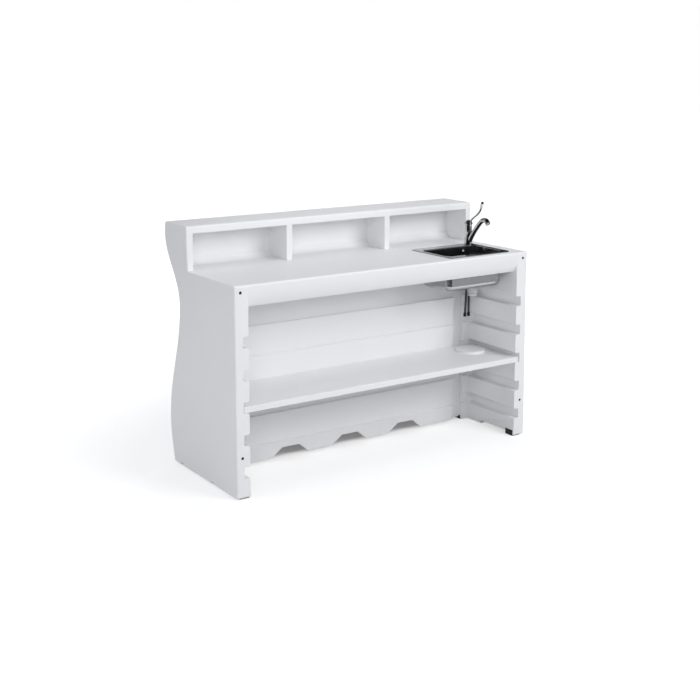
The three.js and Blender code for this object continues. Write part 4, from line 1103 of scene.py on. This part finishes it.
class COUNTER_OT_sink(PieceMaker, bpy.types.Operator):
    """Press the sink's flange and bowl, and finish its seal and clips"""

    bl_idname = "counter.sink"
    bl_label = "Sink"

    # Inset and drop along the flange's rounded rim, and the brim's bend in shares of its size
    rim = ((0.0, 0.0016), (0.0004, 0.0005), (0.0016, 0.0))
    brim = ((1.0, 0.0), (0.5, 0.13), (0.13, 0.5), (0.0, 1.0))
    bottom_steps = 8
    corner_steps = 12
    drill_depth = 0.03
    drill_sides = 48

    def execute(self, context):
        settings = context.scene.counter_sink
        sheet = self.pressed_sheet(settings)
        bmesh.ops.solidify(sheet, geom=sheet.faces[:], thickness=settings.sheet)
        bmesh.ops.recalc_face_normals(sheet, faces=sheet.faces)
        tap_cut = moved(plug(settings.tap_hole, self.drill_depth, self.drill_sides), TAP_PLACE)
        overflow_cut = plug(settings.overflow_hole, self.drill_depth, self.drill_sides)
        pointed(overflow_cut, (0, 1, 0), OVERFLOW_PLACE)
        sink = combined("DIFFERENCE", sheet, tap_cut, overflow_cut)
        add_piece("pressed_sink", sink, "sink_steel", "sink", even=True)
        dress_node("sink_seal", "seal")
        for clip in ("left_near_clip", "left_far_clip", "right_near_clip", "right_far_clip"):
            dress_node(clip, "sink_steel")
        return {"FINISHED"}

    def pressed_sheet(self, settings):
        """Loops from the flange's rim over the brim and down the bowl to the waste hole, joined in turn."""
        floor = sink_low.z + settings.sheet
        bowl_low = Vector((sink_low.x + settings.bowl_side, sink_low.y + settings.bowl_near))
        bowl_high = Vector((sink_high.x - settings.bowl_side, sink_high.y - settings.tap_ledge))
        bowl = [(-settings.bowl_brim * out, DECK - settings.bowl_brim * down) for out, down in self.brim]
        bottom = settings.bowl_bottom
        for step in range(self.bottom_steps + 1):
            angle = math.radians(90 * step / self.bottom_steps)
            bowl.append((bottom * (1 - math.cos(angle)), floor + bottom * (1 - math.sin(angle))))
        bm = bmesh.new()
        loops = []
        for inset, drop in self.rim:
            loops.append(self.loop(bm, sink_low, sink_high, inset, DECK - drop, settings.flange_corner))
        for inset, height in bowl:
            loops.append(self.loop(bm, bowl_low, bowl_high, inset, height, settings.bowl_corner))
        around = len(loops[-1])
        hole = bmesh.ops.create_circle(bm, segments=around, radius=settings.waste_hole)["verts"]
        bmesh.ops.translate(bm, verts=hole, vec=(WASTE_PLACE.x, WASTE_PLACE.y, floor))
        loops.append(list({edge for vert in hole for edge in vert.link_edges}))
        for first, second in zip(loops, loops[1:]):
            bmesh.ops.bridge_loops(bm, edges=first + second)
        return tidy_faces(bm)

    def loop(self, bm, low, high, inset, height, corner):
        low_corner = (low.x + inset, low.y + inset)
        high_corner = (high.x - inset, high.y - inset)
        face = rounded_plate(bm, low_corner, high_corner, height, corner - inset, self.corner_steps)
        edges = list(face.edges)
        bmesh.ops.delete(bm, geom=[face], context="FACES_ONLY")
        return edges


class COUNTER_OT_waste(PieceMaker, bpy.types.Operator):
    """Make the waste fittings and the overflow"""

    bl_idname = "counter.waste"
    bl_label = "Waste and overflow"

    # Domed discs: sheet, rise, rim below the highest point; and slots, with their inner and outer radii
    disc_sheet = 0.0012
    disc_dome = 0.0008
    disc_rim = 0.002
    strainer_slots = (8, 0.007, 0.019)
    overflow_slots = (6, 0.004, 0.0085)
    slot_steps = 6
    slot_share = 0.5
    slot_slack = 0.95
    # The dome's height at the slots' outer ends, and the radius and height of its last bend, in shares
    slot_height, bend_radius, bend_height = 0.7, 0.82, 0.4
    strainer_wall = 0.002
    strainer_gap = 0.0022
    overflow_tail = (0.0072, 0.0087)
    overflow_steps = 48

    # Radius and height along the outline of the overflow's screw
    screw_profile = ((0, 0.0009), (0.0052, 0.0009), (0.0052, 0.0017), (0.0036, 0.0026), (0, 0.0028))

    # Cup: radius and shoulder of the straight part, wall, lip and outlet
    cup_body = 0.0245
    cup_shoulder = 0.018
    cup_wall = 0.003
    cup_chamfer = 0.002
    cup_lip = 0.006
    cup_lip_edge = (0.0012, 0.007)
    cup_under_lip = 0.009
    outlet = 0.016
    cup_round = 0.0006

    # Ring nuts: ribs, and how far they stand out
    waste_ribs = (24, 0.0012)
    overflow_ribs = (18, 0.001)
    overflow_bore = 0.009
    nut_edge = 0.0004
    nut_turn = math.radians(60)

    def execute(self, context):
        self.strainer(context.scene.counter_sink)
        self.cup()
        self.overflow()
        dress_node("waste_seal", "seal")
        return {"FINISHED"}

    def slotted_disc(self, radius, slots, inner, outer):
        """A slightly domed sheet disc with radial slots between two radii."""
        dome = self.disc_dome
        profile = ((0, dome), (inner, dome), (outer, dome * self.slot_height),
                   (radius * self.bend_radius, dome * self.bend_height), (radius, 0))
        bm = spun(profile, slots * self.slot_steps)
        pitch = math.tau / slots
        gaps = []
        for face in bm.faces:
            centre = face.calc_center_median()
            reach = math.hypot(centre.x, centre.y)
            turn = math.atan2(centre.y, centre.x) % pitch
            if inner * self.slot_slack < reach < outer and turn < pitch * self.slot_share:
                gaps.append(face)
        bmesh.ops.delete(bm, geom=gaps, context="FACES")
        bmesh.ops.recalc_face_normals(bm, faces=bm.faces)
        bmesh.ops.solidify(bm, geom=bm.faces[:], thickness=self.disc_sheet)
        return bm

    def strainer(self, settings):
        low, high = strainer_low, strainer_high
        disc = self.slotted_disc(half_width(low, high), *self.strainer_slots)
        moved(disc, (WASTE_PLACE.x, WASTE_PLACE.y, high.z - self.disc_rim))
        add_piece("strainer_disc", disc, "chrome", "waste_strainer")
        outer = settings.waste_hole - SEAT
        tail = sleeve(outer - self.strainer_wall, outer, low.z, high.z - self.strainer_gap)
        moved(tail, (WASTE_PLACE.x, WASTE_PLACE.y, 0))
        add_piece("strainer_tail", tail, "chrome", "waste_strainer")

    def cup(self):
        low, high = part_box("waste_body")
        radius, drop = half_width(low, high), high.z - low.z
        body, shoulder, wall = self.cup_body, self.cup_shoulder, self.cup_wall
        edge_in, edge_down = self.cup_lip_edge
        under, bore = drop - self.cup_under_lip, self.outlet - wall
        profile = ((radius - wall, drop), (radius, drop), (radius, drop - self.cup_lip),
                   (radius - edge_in, drop - edge_down), (body, under), (body, shoulder + self.cup_chamfer),
                   (body - self.cup_chamfer, shoulder), (self.outlet, shoulder), (self.outlet, 0),
                   (bore, 0), (bore, shoulder + wall), (body - wall, shoulder + wall),
                   (body - wall, under), (radius - wall, drop))
        cup = moved(spun(profile, soften=self.cup_round), Vector((WASTE_PLACE.x, WASTE_PLACE.y, low.z)))
        add_piece("waste_cup", cup, "waste_plastic", "waste_body")
        low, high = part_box("waste_nut")
        ribs, rib = self.waste_ribs
        nut = ribbed_ring(self.outlet + SEAT, half_width(low, high) - rib, low.z, high.z, ribs, rib)
        bevel(nut, outward_edges(nut, self.nut_turn), self.nut_edge)
        moved(nut, (WASTE_PLACE.x, WASTE_PLACE.y, 0))
        add_piece("waste_ring_nut", nut, "waste_plastic", "waste_nut")

    def overflow(self):
        low, high = rosette_low, rosette_high
        place = Vector((OVERFLOW_PLACE.x, low.y + self.disc_rim, OVERFLOW_PLACE.z))
        disc = self.slotted_disc(half_width(low, high), *self.overflow_slots)
        add_piece("overflow_disc", pointed(disc, (0, -1, 0), place), "chrome", "overflow_rosette")
        tail = sleeve(*self.overflow_tail, 0, high.y - place.y, self.overflow_steps)
        add_piece("overflow_tail", pointed(tail, (0, 1, 0), place), "chrome", "overflow_rosette")
        # The screw takes the pale plastic finish: its pale dot is partly the screw's own colour and partly
        # a painted highlight for a chrome screw's glint
        screw = pointed(spun(self.screw_profile, 32), (0, -1, 0), place)
        add_piece("overflow_screw", screw, "waste_plastic", "overflow_rosette")
        low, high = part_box("overflow_nut")
        ribs, rib = self.overflow_ribs
        nut = ribbed_ring(self.overflow_bore, half_width(low, high) - rib, 0, high.y - low.y, ribs, rib)
        pointed(nut, (0, 1, 0), Vector((OVERFLOW_PLACE.x, low.y, OVERFLOW_PLACE.z)))
        add_piece("overflow_ring_nut", nut, "waste_plastic", "overflow_nut")


class COUNTER_OT_tap_body(PieceMaker, bpy.types.Operator):
    """Turn the tap's base ring and column, and finish its fixings under the deck"""

    bl_idname = "counter.tap_body"
    bl_label = "Tap body"

    ring_round = 0.0012
    flange_radius = 0.0195
    flange_thick = 0.003
    neck_top = 0.0266
    shoulder_radius = 0.0185
    shoulder_height = 0.004
    waist_height = 0.012
    waist_swell = 0.0008
    bore_radius = 0.0115
    bore_depth = 0.0138
    fixings = {
        "cartridge_carrier": "cartridge", "tap_stud": "brass", "clamp_nut": "brass",
        "clamp_washer": "sink_steel",
    }

    def execute(self, context):
        settings = context.scene.counter_tap
        radius, height = half_width(ring_low, ring_high), ring_high.z - DECK
        ring = sleeve(context.scene.counter_sink.tap_hole, radius, SEAT, height, soften=self.ring_round)
        add_piece("base_ring", moved(ring, TAP_PLACE), "chrome", "tap_base_ring")
        add_piece("tap_column", moved(self.column(settings, height), TAP_PLACE), "chrome", "tap_body")
        for node, slot in self.fixings.items():
            dress_node(node, slot)
        return {"FINISHED"}

    def column(self, settings, base):
        """Foot flange, neck, shoulder, column and ball, bored from above for the cartridge."""
        low = base + SEAT
        neck_low, neck_high = low + self.flange_thick, low + self.neck_top
        neck, pivot, ball = settings.neck_radius, settings.pivot_height, settings.ball_radius
        profile = [(0, low), (self.flange_radius, low), (self.flange_radius, neck_low), (neck, neck_low),
                   (neck, neck_high), (self.shoulder_radius, neck_high),
                   (self.shoulder_radius, neck_high + self.shoulder_height),
                   (settings.column_radius + self.waist_swell, neck_high + self.waist_height)]
        start = -math.degrees(math.acos(settings.column_radius / ball))
        end = math.degrees(math.acos(self.bore_radius / ball))
        floor = pivot - self.bore_depth
        profile += [*arc(ball, start, end, 16, (0, pivot)), (self.bore_radius, floor), (0, floor)]
        return spun(profile)


class COUNTER_OT_tap_spout(PieceMaker, bpy.types.Operator):
    """Sweep the spout from its turning hub and make its end piece"""

    bl_idname = "counter.tap_spout"
    bl_label = "Tap spout"

    hub_low = 0.0076
    hub_high = 0.0306
    hub_round = 0.001

    # Room cut for the neck, the column above the hub and the base ring below it
    neck_play = 0.00035
    neck_cut = (-0.01, 0.12)
    column_cut = 0.0194
    ring_cut = 0.024
    ring_cut_low = -0.04

    # End piece: length, groove round it, and the recess in its end
    end_length = 0.009
    groove = ((0.0, 0.0025), (0.0006, 0.0028), (0.0006, 0.0036), (0.0, 0.0039))
    recess = 0.003
    end_round = 0.0006

    def execute(self, context):
        settings = context.scene.counter_tap
        hub = rod(settings.hub_radius, self.hub_low, self.hub_high, soften=self.hub_round)
        points = [tap_point(*point) - TAP_PLACE for point in SPOUT_ROUTE]
        pipe = swept(points, [settings.spout_radius] * len(points), 48)
        joined = combined("UNION", hub, pipe)
        neck = rod(settings.neck_radius + self.neck_play, *self.neck_cut)
        column = rod(self.column_cut, self.hub_high, self.neck_cut[1])
        ring = rod(self.ring_cut, self.ring_cut_low, self.hub_low)
        bm = combined("DIFFERENCE", joined, neck, column, ring)
        add_piece("spout_pipe", moved(bm, TAP_PLACE), "chrome", "tap_spout", body="spout", even=True)
        self.end_piece(settings)
        return {"FINISHED"}

    def end_piece(self, settings):
        radius, length = settings.aerator_radius, self.end_length
        waist = [(radius - inset, height) for inset, height in self.groove]
        profile = ((0, SEAT), (radius, SEAT), *waist, (radius, length), (radius - self.recess, length),
                   (radius - self.recess, length - self.recess), (0, length - self.recess))
        end = spun(profile, soften=self.end_round)
        pointed(end, route_heading(SPOUT_ROUTE), tap_point(*SPOUT_ROUTE[-1]))
        add_piece("spout_end", end, "chrome", "spout_aerator", body="spout")


class COUNTER_OT_tap_handle(PieceMaker, bpy.types.Operator):
    """Make the handle's cap, its lever and its black tip"""

    bl_idname = "counter.tap_handle"
    bl_label = "Tap handle"

    grip_end = 0.015
    # The lever's radius at each point: shares of its foot's radius, then of its end's
    foot_shares = (1.0, 1.0, 1.05, 1.1)
    end_shares = (0.85, 1.0, 1.0)
    # The tip, and its outline's shoulder in shares of its radius and length
    tip_length = 0.009
    tip_shape = ((1.0, 0.5), (0.8, 0.85))
    tip_round = 0.001
    stem_radius = 0.003
    stem_drop = 0.003
    stem_sink = 0.0003
    ball_play = 0.0006

    def execute(self, context):
        settings = context.scene.counter_tap
        dome = moved(self.dome(settings), TAP_PLACE)
        add_piece("handle_dome", dome, "chrome", "handle_cap", body="mixer_handle")
        heading = route_heading(LEVER_ROUTE)
        end = tap_point(*LEVER_ROUTE[-1]) + heading * self.grip_end
        points = [tap_point(*point) for point in LEVER_ROUTE] + [end]
        thin, thick = settings.lever_radius, settings.grip_radius
        radii = [thin * part for part in self.foot_shares] + [thick * part for part in self.end_shares]
        lever = swept(points, radii, 32)
        add_piece("handle_rod", lever, "chrome", "handle_lever", body="mixer_handle", even=True)
        shoulder = [(thick * out, self.tip_length * up) for out, up in self.tip_shape]
        profile = ((0, 0), (thick, 0), *shoulder, (0, self.tip_length))
        tip = pointed(spun(profile, 48, self.tip_round), heading, end + heading * SEAT)
        add_piece("handle_tip", tip, "foot_rubber", "lever_tip", body="mixer_handle")
        return {"FINISHED"}

    def dome(self, settings):
        """A hollow half ball with a thick rim, and the stem that reaches into the cartridge."""
        outer, pivot = settings.cap_radius, settings.pivot_height
        inner = settings.ball_radius + self.ball_play
        foot = pivot - self.stem_drop
        stem = ((0, foot), (self.stem_radius, foot), (self.stem_radius, pivot + inner - self.stem_sink))
        hollow = arc(inner, 80, 0, 14, (0, pivot))
        crown = arc(outer, 2, 90, 16, (0, pivot))
        return spun([*stem, *hollow, *crown[:-1], (0, pivot + outer)])


class COUNTER_PT_panel(bpy.types.Panel):
    """Lists the makers of the counter's pieces"""

    bl_idname = "COUNTER_PT_panel"
    bl_label = "Bar Counter"
    bl_space_type = "VIEW_3D"
    bl_region_type = "UI"
    bl_category = "Bar Counter"

    def draw(self, context):
        for maker in MAKERS:
            self.layout.operator(maker.bl_idname)


MAKERS = (
    COUNTER_OT_stage, COUNTER_OT_hoses, COUNTER_OT_mouldings, COUNTER_OT_shelf, COUNTER_OT_feet,
    COUNTER_OT_bolts, COUNTER_OT_sink, COUNTER_OT_waste, COUNTER_OT_tap_body, COUNTER_OT_tap_spout,
    COUNTER_OT_tap_handle,
)
SETTINGS = {
    "counter_stage": StageSettings, "counter_mouldings": MouldingSettings,
    "counter_small_parts": SmallPartSettings, "counter_sink": SinkSettings, "counter_tap": TapSettings,
    "counter_hoses": HoseSettings,
}


def register():
    for name, group in SETTINGS.items():
        bpy.utils.register_class(group)
        setattr(bpy.types.Scene, name, PointerProperty(type=group))
    for maker in MAKERS:
        bpy.utils.register_class(maker)
    bpy.utils.register_class(COUNTER_PT_panel)


def unregister():
    bpy.utils.unregister_class(COUNTER_PT_panel)
    for maker in reversed(MAKERS):
        bpy.utils.unregister_class(maker)
    for name, group in SETTINGS.items():
        delattr(bpy.types.Scene, name)
        bpy.utils.unregister_class(group)


def main():
    register()
    bpy.ops.counter.stage()
    bpy.ops.counter.hoses()
    bpy.ops.counter.mouldings()
    bpy.ops.counter.shelf()
    bpy.ops.counter.feet()
    bpy.ops.counter.bolts()
    bpy.ops.counter.sink()
    bpy.ops.counter.waste()
    bpy.ops.counter.tap_body()
    bpy.ops.counter.tap_spout()
    bpy.ops.counter.tap_handle()


if __name__ == "__main__":
    main()
